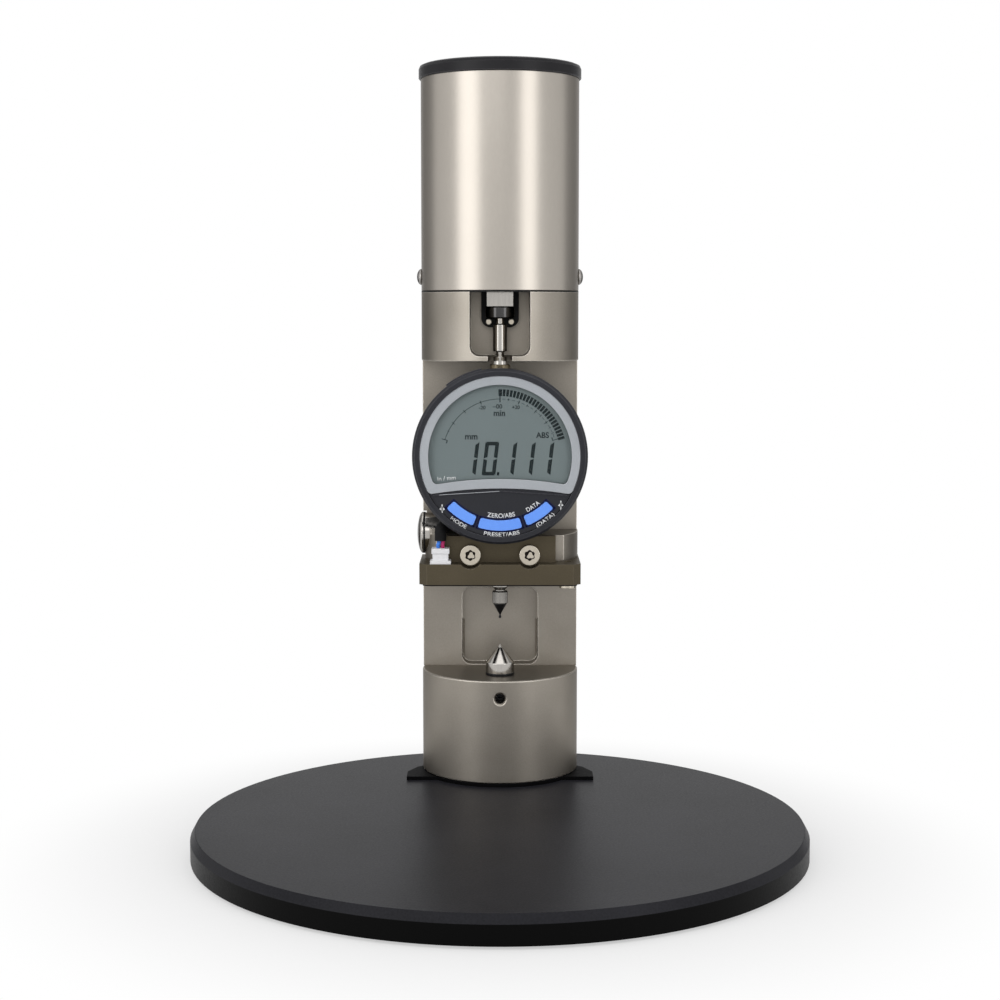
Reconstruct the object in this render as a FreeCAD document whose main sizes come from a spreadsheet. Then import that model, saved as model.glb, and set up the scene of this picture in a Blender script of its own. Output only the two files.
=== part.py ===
import FreeCAD, Part
import math
import os
import re
import Sketcher
from FreeCAD import Rotation, Vector

doc = FreeCAD.newDocument("HeightGauge")

# Driving sizes in millimetres. Each has one cell and one alias.
SIZES = [
    ("base_radius", 99.0, "round base plate"),
    ("base_thick", 8.9, "base plate"),
    ("base_bevel_wide", 1.5, "bevel round the top of the base"),
    ("base_bevel_high", 2.7, "bevel round the top of the base"),
    ("rubber_radius", 8.0, "rubber feet"),
    ("rubber_proud", 1.0, "feet below the base"),
    ("rubber_sunk", 1.0, "feet in their recesses"),
    ("rubber_inset", 15.0, "feet inside the edge of the base"),
    ("column_radius", 27.5, "column"),
    ("base_margin", 2.2, "base plate behind the column"),
    ("flat_behind", 2.9, "front flat of the backbone behind the column axis"),
    ("foot_plate_thick", 1.2, "black plate under the column"),
    ("ear_out", 5.2, "ears of the foot plate beyond the column"),
    ("ear_front", 16.8, "ears in front of the column axis"),
    ("ear_back", 9.0, "ears in front of the column axis, rear edge"),
    ("foot_high", 35.9, "round lower part of the column"),
    ("head_gap", 3.8, "head ring above the gauge case"),
    ("head_high", 24.0, "round head ring"),
    ("cover_high", 73.0, "drive cover"),
    ("cover_wall", 1.4, "drive cover"),
    ("cap_thick", 4.7, "end cap"),
    ("cap_overhang", 0.7, "end cap beyond the column"),
    ("cap_round", 1.4, "end cap edge"),
    ("seam_bevel", 0.35, "small bevel at the seams"),
    ("slip", 0.1, "clearance of fixed pieces in their holes"),
    ("run", 0.05, "radial clearance of moving pieces"),
    ("bolt_radius", 3.0, "screws under the base"),
    ("bolt_head_radius", 5.0, "screws under the base"),
    ("bolt_head_high", 3.2, "screws under the base"),
    ("bolt_aside", 14.0, "long base screws from the middle"),
    ("bolt_behind", 12.0, "long base screws behind the column axis"),
    ("bolt_front", 16.0, "short base screw in front of the column axis"),
    ("bolt_grip", 15.0, "long base screws in the backbone"),
    ("short_bolt_grip", 10.0, "short base screw in the column foot"),
    ("spindle_front", 14.0, "spindle axis in front of the column axis"),
    ("shank_radius", 3.0, "anvil shank"),
    ("shank_deep", 18.0, "anvil shank in the column foot"),
    ("seat_ring_radius", 5.0, "black ring under the anvil"),
    ("seat_ring_thick", 0.8, "black ring under the anvil"),
    ("anvil_radius", 4.85, "anvil"),
    ("anvil_wall", 3.6, "straight side of the anvil"),
    ("anvil_cone", 5.2, "cone of the anvil"),
    ("anvil_point", 1.06, "fine point of the anvil"),
    ("anvil_point_radius", 0.75, "foot of the fine point"),
    ("grub_radius", 1.65, "set screws"),
    ("grub_long", 5.0, "set screws"),
    ("grub_below", 6.2, "set screws below the shelf"),
    ("grub_sink_radius", 2.35, "countersinks of the set screw holes"),
    ("side_hole_deep", 8.0, "blind set screw hole in the left side"),
    ("recess_half", 13.6, "shallow pocket in the backbone, half width"),
    ("recess_sill", 0.5, "pocket above the shelf"),
    ("recess_high", 27.7, "pocket in the backbone"),
    ("recess_deep", 6.0, "pocket in the backbone"),
    ("recess_corner", 3.4, "pocket corners"),
    ("left_mill", 1.3, "depth of the milled left side"),
    ("left_flat_high", 16.2, "milled left side of the backbone"),
    ("holder_up", 40.2, "stem holder above the shelf"),
    ("holder_high", 9.1, "stem holder"),
    ("holder_front", 16.4, "front flat of the stem holder"),
    ("stem_radius", 4.0, "gauge stem"),
    ("boss_high", 1.9, "saddle on the stem holder"),
    ("boss_wide", 6.3, "saddle on the stem holder"),
    ("boss_front", 13.2, "saddle in front of the column axis"),
    ("pan_radius", 3.5, "holder screw heads"),
    ("pan_high", 2.2, "holder screw heads"),
    ("pan_shank", 2.0, "holder screws"),
    ("pan_aside", 10.2, "holder screws from the middle"),
    ("pan_up", 2.65, "holder screws above the bottom of the holder"),
    ("pan_grip", 9.0, "holder screws in the backbone"),
    ("bracket_thick", 7.1, "lamp bracket"),
    ("flange_thick", 3.2, "upright flange of the lamp bracket"),
    ("flange_half", 19.2, "upright flange, half width"),
    ("flange_high", 9.1, "upright flange, above the plate"),
    ("bracket_out", 0.2, "lamp bracket beyond the column"),
    ("bracket_front", 26.0, "lamp bracket"),
    ("bracket_corner", 2.6, "front corners of the lamp bracket"),
    ("bracket_notch", 4.3, "rounded notches for the holder screws"),
    ("bracket_bolt_aside", 5.0, "screws that hang the bracket"),
    ("bracket_bolt_front", 3.5, "screws that hang the bracket"),
    ("bracket_bolt_radius", 1.5, "screws that hang the bracket"),
    ("bracket_bolt_head", 2.6, "screws that hang the bracket"),
    ("bracket_bolt_grip", 4.0, "screws that hang the bracket, in the holder"),
    ("lamp_cover_thick", 0.5, "black cover under the bracket"),
    ("lamp_cover_inset", 1.2, "black cover inside the bracket's outline"),
    ("lamp_recess_radius", 10.8, "lamp recess in the bracket"),
    ("lamp_recess_deep", 3.0, "lamp recess in the bracket"),
    ("lamp_board_thick", 1.2, "lamp board"),
    ("lamp_hole", 4.6, "hole of the lamp board and window"),
    ("lamp_window_radius", 6.0, "opening in the lamp cover"),
    ("lamp_screw_inset", 4.3, "lamp cover screws from the side of the bracket"),
    ("lamp_screw_left", 11.0, "left lamp cover screw in front of the column axis"),
    ("lamp_screw_right", 17.0, "right lamp cover screw in front of the column axis"),
    ("lamp_screw_head", 2.85, "lamp cover screws"),
    ("lamp_screw_proud", 1.6, "lamp cover screws"),
    ("lamp_screw_radius", 1.2, "lamp cover screws"),
    ("plug_aside", 20.4, "white connector, to the left"),
    ("plug_front", 22.7, "white connector in front of the column axis"),
    ("plug_deep", 5.4, "white connector, front to back"),
    ("plug_flange_wide", 7.1, "connector flange"),
    ("plug_flange_high", 1.2, "connector flange"),
    ("plug_body_wide", 5.4, "connector body"),
    ("plug_body_high", 2.4, "connector body"),
    ("plug_lip_wide", 6.1, "plug on the connector"),
    ("plug_lip_high", 1.8, "plug on the connector"),
    ("plug_tongue", 1.8, "plug tongue in the connector"),
    ("plug_shell", 0.8, "connector wall"),
    ("wire_radius", 0.65, "two lamp wires"),
    ("wire_apart", 0.75, "wires from the middle of the plug"),
    ("wire_high", 2.5, "bare stretch of the wires"),
    ("sleeve_radius", 2.0, "black sleeve over the wires"),
    ("sleeve_hole", 2.2, "hole for the sleeve"),
    ("sleeve_gap", 0.435, "sleeve beside the gauge case"),
    ("lead_above", 3.3, "lead hole above the stem holder"),
    ("lead_channel_behind", 10.0, "lead channel behind the column axis"),
    ("power_channel_behind", 16.0, "power channel behind the column axis"),
    ("channel_radius", 2.6, "wire channels"),
    ("power_up", 14.0, "power inlet above the foot plate"),
    ("power_radius", 5.0, "power inlet"),
    ("power_flange", 6.0, "power inlet flange"),
    ("power_proud", 1.6, "power inlet flange"),
    ("power_deep", 9.0, "power inlet in the column"),
    ("power_bore", 3.1, "power inlet bore"),
    ("power_pin", 1.0, "power inlet pin"),
    ("window_half", 10.3, "window in the head ring"),
    ("window_sill", 1.9, "web under the window"),
    ("window_back", 5.0, "window back wall in front of the column axis"),
    ("window_corner", 3.4, "window corners"),
    ("notch_half", 4.15, "notch in the web"),
    ("neck_high", 10.0, "neck inside the cover"),
    ("neck_wall", 4.5, "neck inside the cover"),
    ("head_bolt_radius", 2.0, "screws through the head"),
    ("head_bolt_head", 3.5, "screws through the head"),
    ("head_bolt_head_high", 4.0, "screws through the head"),
    ("head_bolt_aside", 11.0, "screws through the head"),
    ("head_bolt_behind", 12.0, "screws through the head"),
    ("head_bolt_grip", 14.0, "screws through the head, in the backbone"),
    ("button_head_radius", 2.8, "cover screws"),
    ("button_head_high", 1.6, "cover screws"),
    ("button_shank", 1.5, "cover screws"),
    ("button_up", 5.1, "cover screws above the seam"),
    ("button_grip", 5.0, "cover screws"),
    ("case_gap", 0.2, "gauge case above the stem holder"),
    ("case_radius", 28.0, "gauge case"),
    ("case_wall", 3.0, "gauge case"),
    ("case_front", 11.0, "gauge case in front of the spindle axis"),
    ("case_back", 5.8, "gauge case behind the spindle axis"),
    ("case_face", 2.0, "front wall of the gauge case"),
    ("case_step", 1.8, "step that carries the turning bezel"),
    ("case_step_inset", 2.0, "step that carries the turning bezel"),
    ("case_top_flat", 0.4, "flat on top of the gauge case"),
    ("back_cover_thick", 1.5, "gauge back cover"),
    ("back_cover_inset", 0.4, "gauge back cover inside the case"),
    ("back_screw_inset", 1.6, "back cover screws inside the case"),
    ("back_screw_radius", 0.8, "back cover screws"),
    ("back_screw_head", 1.3, "back cover screws"),
    ("back_screw_proud", 0.7, "back cover screws"),
    ("back_screw_grip", 5.0, "back cover screws"),
    ("stem_low", 36.0, "stem end above the shelf"),
    ("stem_sunk", 2.5, "stem in the case"),
    ("bezel_out", 1.75, "turning bezel beyond the case"),
    ("bezel_lip_inset", 0.8, "turning bezel inside, within the case"),
    ("bezel_high", 6.15, "turning bezel"),
    ("bezel_edge", 1.0, "bevel of the turning bezel"),
    ("grip_out", 0.6, "thumb ridge on the bezel"),
    ("grip_start", 12.0, "thumb ridge, degrees left of the top"),
    ("grip_sweep", 25.0, "thumb ridge, degrees"),
    ("screen_board_thick", 1.2, "display board"),
    ("screen_thick", 0.7, "display cell"),
    ("panel_thick", 1.3, "black face panel"),
    ("frame_proud", 0.6, "silver frame on the face panel"),
    ("frame_drop", 10.7, "bottom edge of the silver frame below the dial centre"),
    ("frame_bow", 144.0, "bottom edge of the silver frame, radius"),
    ("frame_rim", 2.9, "silver frame round the display window"),
    ("glass_drop", 7.5, "bottom of the display window below the dial centre"),
    ("glass_bow", 126.0, "bottom of the display window, radius"),
    ("glass_corner", 1.8, "display window corners"),
    ("key_wide", 3.5, "arc buttons"),
    ("key_rim", 2.1, "panel outside the arc buttons"),
    ("key_proud", 0.6, "arc buttons"),
    ("key_gap", 0.2, "gap round the arc buttons"),
    ("key_round", 0.7, "corners of the arc buttons"),
    ("middle_key_half", 17.5, "middle arc button, half its degrees"),
    ("side_key_start", 21.5, "side arc buttons, degrees from the bottom"),
    ("side_key_sweep", 24.5, "side arc buttons, degrees"),
    ("spindle_radius", 2.0, "gauge spindle"),
    ("spindle_neck", 1.75, "neck at the lower end of the spindle"),
    ("spindle_neck_high", 0.4, "neck at the lower end of the spindle"),
    ("collar_radius", 2.9, "collar above the neck"),
    ("collar_flare", 1.2, "cone from the neck to the collar"),
    ("collar_high", 0.8, "collar above the neck"),
    ("rest_gap", 9.2, "anvil point to contact point at rest"),
    ("contact_point", 1.45, "fine contact point"),
    ("contact_point_radius", 0.45, "fine contact point"),
    ("contact_cone", 3.7, "black contact cone"),
    ("contact_radius", 2.7, "knurled contact holder"),
    ("contact_high", 4.5, "knurled contact holder"),
    ("spindle_top", 4.2, "spindle end below the top of the case"),
    ("bush_radius", 3.4, "guide bush on the gauge case"),
    ("bush_high", 3.1, "guide bush on the gauge case"),
    ("lift_down", 9.0, "travel of the spindle below its place in the photograph"),
    ("rod_cap_radius", 2.3, "cap of the spindle, under the lifting rod"),
    ("rod_cap_high", 5.7, "cap above the gauge case"),
    ("rod_radius", 2.4, "lifting rod"),
    ("rod_neck_radius", 1.3, "lifting rod necks"),
    ("rod_thread_radius", 1.45, "threaded end of the lifting rod"),
    ("rod_low", 3.2, "thick part of the lifting rod above the seam"),
    ("rod_thick_long", 9.6, "thick part of the lifting rod"),
    ("rod_upper_neck", 1.9, "upper neck of the lifting rod"),
    ("rod_thread_long", 7.0, "lifting rod in the block"),
    ("nut_radius", 5.0, "black nut"),
    ("nut_high", 4.1, "black nut"),
    ("block_side", 9.0, "lift block"),
    ("block_high", 31.8, "lift block"),
    ("block_web", 6.0, "lift block under its bore"),
    ("screw_radius", 2.5, "lead screw"),
    ("screw_clear", 11.0, "lead screw end above the bottom of the block"),
    ("screw_long", 30.0, "lead screw"),
    ("shaft_radius", 1.5, "motor shaft"),
    ("shaft_sunk", 4.0, "motor shaft in the gearbox"),
    ("guide_half", 6.5, "guide plate"),
    ("guide_low", 11.6, "lower edge of the guide plate above the bottom of the head"),
    ("guide_long", 42.9, "guide plate"),
    ("guide_corner", 3.2, "lower corners of the guide plate"),
    ("guide_pin_radius", 0.95, "pins in the guide plate"),
    ("guide_pin_aside", 3.9, "pins in the guide plate"),
    ("guide_pin_up", 1.9, "pins above the end of the guide plate"),
    ("guide_pin_proud", 0.3, "pins in the guide plate"),
    ("post_radius", 2.5, "motor posts"),
    ("post_aside", 15.5, "motor posts"),
    ("post_front", 10.0, "front motor posts"),
    ("post_behind", 8.0, "rear motor posts"),
    ("post_high", 41.7, "motor posts"),
    ("post_spigot", 1.5, "riveted ends of the motor posts"),
    ("motor_plate_thick", 3.0, "motor plate"),
    ("motor_plate_inset", 3.5, "motor plate inside the column"),
    ("motor_radius", 9.5, "gear motor"),
    ("motor_high", 24.0, "gear motor"),
    ("gearbox_high", 8.0, "gearbox under the motor"),
    ("motor_can", 8.4, "motor can"),
    ("board_half", 17.0, "control board"),
    ("board_thick", 1.6, "control board"),
    ("board_high", 30.0, "control board"),
    ("board_up", 8.0, "control board above the head"),
    ("switch_wide", 5.5, "limit switches"),
    ("switch_high", 8.0, "limit switches"),
    ("switch_low_up", 5.7, "lower limit switch above the head"),
    ("switch_high_up", 30.7, "upper limit switch above the head"),
    ("start_behind", 8.5, "start button axis behind the spindle axis"),
    ("start_up", 8.8, "start button axis above the bottom of the holder"),
    ("start_radius", 7.25, "start button"),
    ("start_shell", 7.0, "start button housing"),
    ("start_seal", 0.5, "seal under the start button"),
    ("start_high", 2.3, "start button"),
    ("start_cap_radius", 4.6, "moving middle of the start button"),
    ("start_travel", 1.2, "start button"),
    ("start_stem", 2.0, "start button stem"),
    ("start_stem_long", 4.0, "start button stem"),
    ("carrier_half", 4.0, "scale carrier clamp"),
    ("carrier_high", 8.0, "scale carrier clamp"),
    ("scale_high", 28.0, "scale strip"),
    ("scale_thick", 1.5, "scale strip"),
    ("detector_aside", 9.5, "detector board from the middle"),
    ("detector_high", 33.0, "detector board"),
    ("detector_thick", 1.6, "detector board"),
    ("hex_floor_share", 0.4, "floor of a screw socket, share of the head"),
    ("hex_radius_share", 0.72, "screw socket, share of the shank radius"),
    ("bolt_sunk", 0.4, "bolt heads below the underside of the base"),
    ("sleeve_rise", 5.0, "cable sleeve, straight rise out of the connector"),
    ("sleeve_first_bend", 7.5, "cable sleeve, first bend behind the connector"),
    ("sleeve_second_bend", 16.7, "cable sleeve, second bend behind the connector"),
    ("guide_clear", 0.15, "guide plate behind the lift nut"),
    ("sleeve_reach_share", 0.45, "bend of the sleeve, share of its shorter run"),
    ("grub_sink_deep", 0.7, "countersink of a set screw hole"),
    ("plug_inset", 0.3, "connector body inside its flange"),
    ("head_bolt_sunk", 0.5, "head screws below the top of the head"),
    ("edge_break", 0.4, "broken edge of a turned piece"),
    ("board_gap", 0.25, "display board in front of the case step"),
    ("key_sunk", 0.15, "keys below the back of the face panel"),
]

sheet = doc.addObject("Spreadsheet::Sheet", "Sizes")
for row, (alias, value, meaning) in enumerate(SIZES, start=1):
    sheet.set(f"A{row}", meaning)
    sheet.set(f"B{row}", str(value))
    sheet.setAlias(f"B{row}", alias)
doc.recompute()

ALIASES = {alias for alias, value, meaning in SIZES}

# Sizes that follow from the driving ones.
DERIVED = {
    "column_back_by": "base_radius - column_radius - base_margin",
    "rubber_ring": "base_radius - rubber_inset",
    "cap_radius": "column_radius + cap_overhang",
    "neck_inner": "column_radius - cover_wall - slip - neck_wall",
    "motor_plate_radius": "column_radius - motor_plate_inset",
    "left_flat": "column_radius - left_mill",
    "ear_half": "column_radius + ear_out",
    "boss_inner": "left_flat - boss_wide",
    "bracket_half": "column_radius + bracket_out",
    "lamp_screw_aside": "bracket_half - lamp_screw_inset",
    "flange_front": "holder_front + flange_thick",
    "dial_up": "holder_up + holder_high + case_gap + case_radius",
    "backbone_high": "dial_up + case_radius + head_gap",
    "back_cover_radius": "case_radius - back_cover_inset",
    "back_screw_ring": "case_radius - back_screw_inset",
    "bezel_radius": "case_radius + bezel_out",
    "bezel_lip": "case_radius - bezel_lip_inset",
    "case_step_radius": "case_radius - case_step_inset",
    "glass_radius": "bezel_lip - frame_rim",
    "key_outer": "bezel_lip - key_rim",
    "key_inner": "key_outer - key_wide",
    "lead_up": "holder_up + holder_high + lead_above",
    "lead_aside": "sqrt((case_radius + sleeve_radius + sleeve_gap)^2"
                  " - (case_radius + case_gap - lead_above)^2)",
}

# Heights and places that follow from the driving sizes.
COLUMN_Y = "column_back_by"
FLAT_Y = "(column_back_by + flat_behind)"
SPINDLE_Y = "(column_back_by - spindle_front)"
BASE_LOW = "rubber_proud"
BASE_TOP = "(rubber_proud + base_thick)"
FOOT_LOW = f"({BASE_TOP} + foot_plate_thick)"
SHELF = f"({FOOT_LOW} + foot_high)"
HEAD_LOW = f"({SHELF} + backbone_high)"
HEAD_TOP = f"({HEAD_LOW} + head_high)"
COVER_TOP = f"({HEAD_TOP} + cover_high)"
HOLDER_LOW = f"({SHELF} + holder_up)"
BRACKET_LOW = f"({HOLDER_LOW} - bracket_thick)"
DIAL_Z = f"({SHELF} + dial_up)"
CASE_TOP = f"({DIAL_Z} + case_radius - case_top_flat)"
ANVIL_TIP = f"({SHELF} + seat_ring_thick + anvil_wall + anvil_cone + anvil_point)"
CONTACT_LOW = f"({ANVIL_TIP} + rest_gap)"
HOLDER_CONTACT = f"({CONTACT_LOW} + contact_point + contact_cone)"
SPINDLE_LOW = f"({HOLDER_CONTACT} + contact_high)"
SPINDLE_TOP = f"({CASE_TOP} - spindle_top)"
ROD_LOW = f"({HEAD_LOW} + rod_low)"
ROD_HIGH = f"({ROD_LOW} + rod_thick_long)"
NUT_LOW = f"({ROD_HIGH} + rod_upper_neck)"
BLOCK_LOW = f"({NUT_LOW} + nut_high)"
SCREW_LOW = f"({BLOCK_LOW} + screw_clear)"
MOTOR_PLATE = f"({HEAD_TOP} + post_high)"
MOTOR_LOW = f"({MOTOR_PLATE} + motor_plate_thick)"
START_Y = f"({SPINDLE_Y} + start_behind)"
START_Z = f"({HOLDER_LOW} + start_up)"
GUIDE_FACE = f"({SPINDLE_Y} + nut_radius + guide_clear)"
GUIDE_BACK = f"({COLUMN_Y} - window_back)"

TURNS = {
    "Z": Rotation(),
    "X": Rotation(Vector(0, 1, 0), 90),
    "-X": Rotation(Vector(0, 1, 0), -90),
    "Y": Rotation(Vector(1, 0, 0), -90),
    "-Y": Rotation(Vector(1, 0, 0), 90),
    "-Z": Rotation(Vector(1, 0, 0), 180),
}
finished = []


def spelled(word):
    """One word of an expression: a cell of the sheet, a derived size, or a function left as it is."""
    if word[0] in DERIVED:
        return "(" + linked(DERIVED[word[0]]) + ")"
    return "Sizes." + word[0] if word[0] in ALIASES else word[0]


def linked(text):
    """Write the sheet's name before each alias in an expression."""
    return re.sub(r"[a-z_]+", spelled, str(text))


def tie(item, **expressions):
    for name, text in expressions.items():
        item.setExpression(name, linked(text))
    return item


def put(item, at, along="Z"):
    """Place an item by three expressions, with its own Z turned along an axis."""
    item.Placement = FreeCAD.Placement(Vector(), TURNS[along])
    for letter, text in zip("xyz", at):
        item.setExpression("Placement.Base." + letter, linked(text))
    return item


def box(name, low, size):
    item = tie(doc.addObject("Part::Box", name), Length=size[0], Width=size[1], Height=size[2])
    return put(item, low)


def rod(name, at, radius, length, along="Z"):
    item = tie(doc.addObject("Part::Cylinder", name), Radius=radius, Height=length)
    return put(item, at, along)


def cone(name, at, radius_low, radius_high, length, along="Z"):
    item = tie(doc.addObject("Part::Cone", name), Radius1=radius_low, Radius2=radius_high, Height=length)
    return put(item, at, along)


def joined(name, pieces):
    item = doc.addObject("Part::MultiFuse", name)
    item.Shapes = pieces
    item.Refine = True
    return item


def shared(name, first, second):
    item = doc.addObject("Part::MultiCommon", name)
    item.Shapes = [first, second]
    return item


def cut(name, base, tools):
    """Take one or more tools away from a base."""
    item = doc.addObject("Part::Cut", name)
    item.Base = base
    item.Tool = tools[0] if len(tools) == 1 else joined(name + "_tools", tools)
    item.Refine = True
    return item


def group(name, pieces):
    """Keep identical loose pieces together as separate solids."""
    item = doc.addObject("Part::Compound", name)
    item.Links = pieces
    return item


def rounded(name, base, radius, along, keep=lambda middle: True):
    """Round the straight edges of a base that run along an axis."""
    doc.recompute()
    edges = []
    for number, edge in enumerate(base.Shape.Edges, start=1):
        if edge.Curve.TypeId != "Part::GeomLine":
            continue
        run = edge.tangentAt(edge.FirstParameter)
        if abs(run.dot(along)) > 0.999 and keep(edge.CenterOfMass):
            edges.append(number)
    size = float(sheet.get(radius))
    item = doc.addObject("Part::Fillet", name)
    item.Base = base
    item.Edges = [(number, size, size) for number in edges]
    return item


def profile(body, plane, points):
    """Draw a closed outline of straight lines, each corner tied to the sheet."""
    sketch = body.newObject("Sketcher::SketchObject", body.Name + "_sketch")
    origin = [item for item in body.Origin.OriginFeatures if item.Role == plane][0]
    sketch.AttachmentSupport = [(origin, "")]
    sketch.MapMode = "FlatFace"
    count = len(points)
    spread = [Vector(10 * (1 + index), 10 * (1 + index % 3) + index, 0) for index in range(count)]
    for index in range(count):
        sketch.addGeometry(Part.LineSegment(spread[index], spread[(index + 1) % count]), False)
    for index in range(count):
        sketch.addConstraint(Sketcher.Constraint("Coincident", index, 2, (index + 1) % count, 1))
    for index, (across, up) in enumerate(points):
        for kind, text in (("DistanceX", across), ("DistanceY", up)):
            start = spread[index].x if kind == "DistanceX" else spread[index].y
            number = sketch.addConstraint(Sketcher.Constraint(kind, -1, 1, index, 1, start))
            sketch.setExpression(f"Constraints[{number}]", linked(text))
    return sketch


def turned(name, points, at, along="Z"):
    """A turned piece: an outline of (radius, height) corners about its own Z."""
    body = doc.addObject("PartDesign::Body", name)
    sketch = profile(body, "XZ_Plane", points)
    spin = body.newObject("PartDesign::Revolution", name + "_turn")
    spin.Profile = sketch
    spin.ReferenceAxis = (sketch, ["V_Axis"])
    spin.Angle = 360
    body.Tip = spin
    return put(body, at, along)


def plate(name, points, thick, at, along="Z"):
    """A flat piece: an outline of (x, y) corners with a thickness along its own Z."""
    body = doc.addObject("PartDesign::Body", name)
    sketch = profile(body, "XY_Plane", points)
    pad = body.newObject("PartDesign::Pad", name + "_pad")
    pad.Profile = sketch
    pad.setExpression("Length", linked(thick))
    body.Tip = pad
    return put(body, at, along)


def node(item, name):
    """Count an item as one finished sub-part, under its own label."""
    item.Label = name
    finished.append(item)
    return item


def hexagon(name, at, across, deep, along="Z"):
    item = tie(doc.addObject("Part::Prism", name), Circumradius=across, Height=deep)
    return put(item, at, along)


def headed_screw(name, at, along, head, head_high, shank, length):
    """A screw whose seat is at the given place and whose shank runs the other way."""
    sign = "-" if along.startswith("-") else ""
    letter = along[-1].lower()
    place = dict(zip("xyz", at))
    step = -1 if sign else 1
    low = dict(place)
    low[letter] = f"({place[letter]}) - ({step}) * ({length})"
    shaft = rod(name + "_shank", [low[key] for key in "xyz"], shank, length, along)
    top = rod(name + "_head", at, head, head_high, along)
    solid = joined(name + "_solid", [shaft, top])
    mouth = dict(place)
    mouth[letter] = f"({place[letter]}) + ({step}) * ({head_high}) * hex_floor_share"
    tool = hexagon(name + "_socket", [mouth[key] for key in "xyz"], f"({shank}) * hex_radius_share",
                   head_high, along)
    return cut(name, solid, [tool])


# Base plate with recesses for its feet and counterbores for the column screws.
BOLT_SEAT = "(rubber_proud + bolt_head_high + bolt_sunk)"
BOLTS = [
    ("left", "-bolt_aside", f"{COLUMN_Y} + bolt_behind", f"({SHELF} + bolt_grip - {BOLT_SEAT})"),
    ("right", "bolt_aside", f"{COLUMN_Y} + bolt_behind", f"({SHELF} + bolt_grip - {BOLT_SEAT})"),
    ("front", "0", f"{COLUMN_Y} - bolt_front", f"({FOOT_LOW} + short_bolt_grip - {BOLT_SEAT})"),
]


def bolt_holes(name, low, length):
    """Three clearance holes for the base screws."""
    return [rod(f"{name}_{side}", (x, y, low), "bolt_radius + slip", length) for side, x, y,
            long in BOLTS]


def make_base():
    disc = turned("base_disc", [
        ("0", "0"),
        ("base_radius", "0"),
        ("base_radius", "base_thick - base_bevel_high"),
        ("base_radius - base_bevel_wide", "base_thick"),
        ("0", "base_thick"),
    ], ("0", "0", BASE_LOW))
    tools = bolt_holes("base_hole", BASE_LOW, "base_thick")
    for side, x, y, long in BOLTS:
        tools.append(rod(f"base_bore_{side}", (x, y, BASE_LOW), "bolt_head_radius + slip",
                         "bolt_head_high + bolt_sunk"))
    feet = []
    for number, (right, back) in enumerate([(1, 1), (-1, 1), (-1, -1), (1, -1)]):
        x = f"({right}) * rubber_ring * sqrt(0.5)"
        y = f"({back}) * rubber_ring * sqrt(0.5)"
        tools.append(rod(f"foot_recess_{number}", (x, y, BASE_LOW), "rubber_radius + slip",
                         "rubber_sunk"))
        feet.append(rod(f"foot_{number}", (x, y, "0"), "rubber_radius", "rubber_proud + rubber_sunk"))
    node(cut("base_plate", disc, tools), "base_plate")
    node(group("rubber_feet", feet), "rubber_feet")
    bolts = []
    for side, x, y, long in BOLTS:
        bolts.append(headed_screw(f"bolt_{side}", (x, y, BOLT_SEAT), "-Z", "bolt_head_radius",
                                  "bolt_head_high", "bolt_radius", long))
    node(group("base_screws", bolts), "base_screws")



def make_foot_plate():
    disc = rod("foot_disc", ("0", COLUMN_Y, BASE_TOP), "column_radius", "foot_plate_thick")
    ears = plate("foot_ears", [
        ("-ear_half", "-ear_front"),
        ("ear_half", "-ear_front"),
        ("ear_half", "-ear_back"),
        ("column_radius + 2", "-2"),
        ("column_radius", "0"),
        ("-column_radius", "0"),
        ("-(column_radius + 2)", "-2"),
        ("-ear_half", "-ear_back"),
    ], "foot_plate_thick", ("0", COLUMN_Y, BASE_TOP))
    solid = joined("foot_blank", [disc, ears])
    node(cut("foot_plate", solid, bolt_holes("foot_hole", BASE_TOP, "foot_plate_thick")), "foot_plate")


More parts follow.
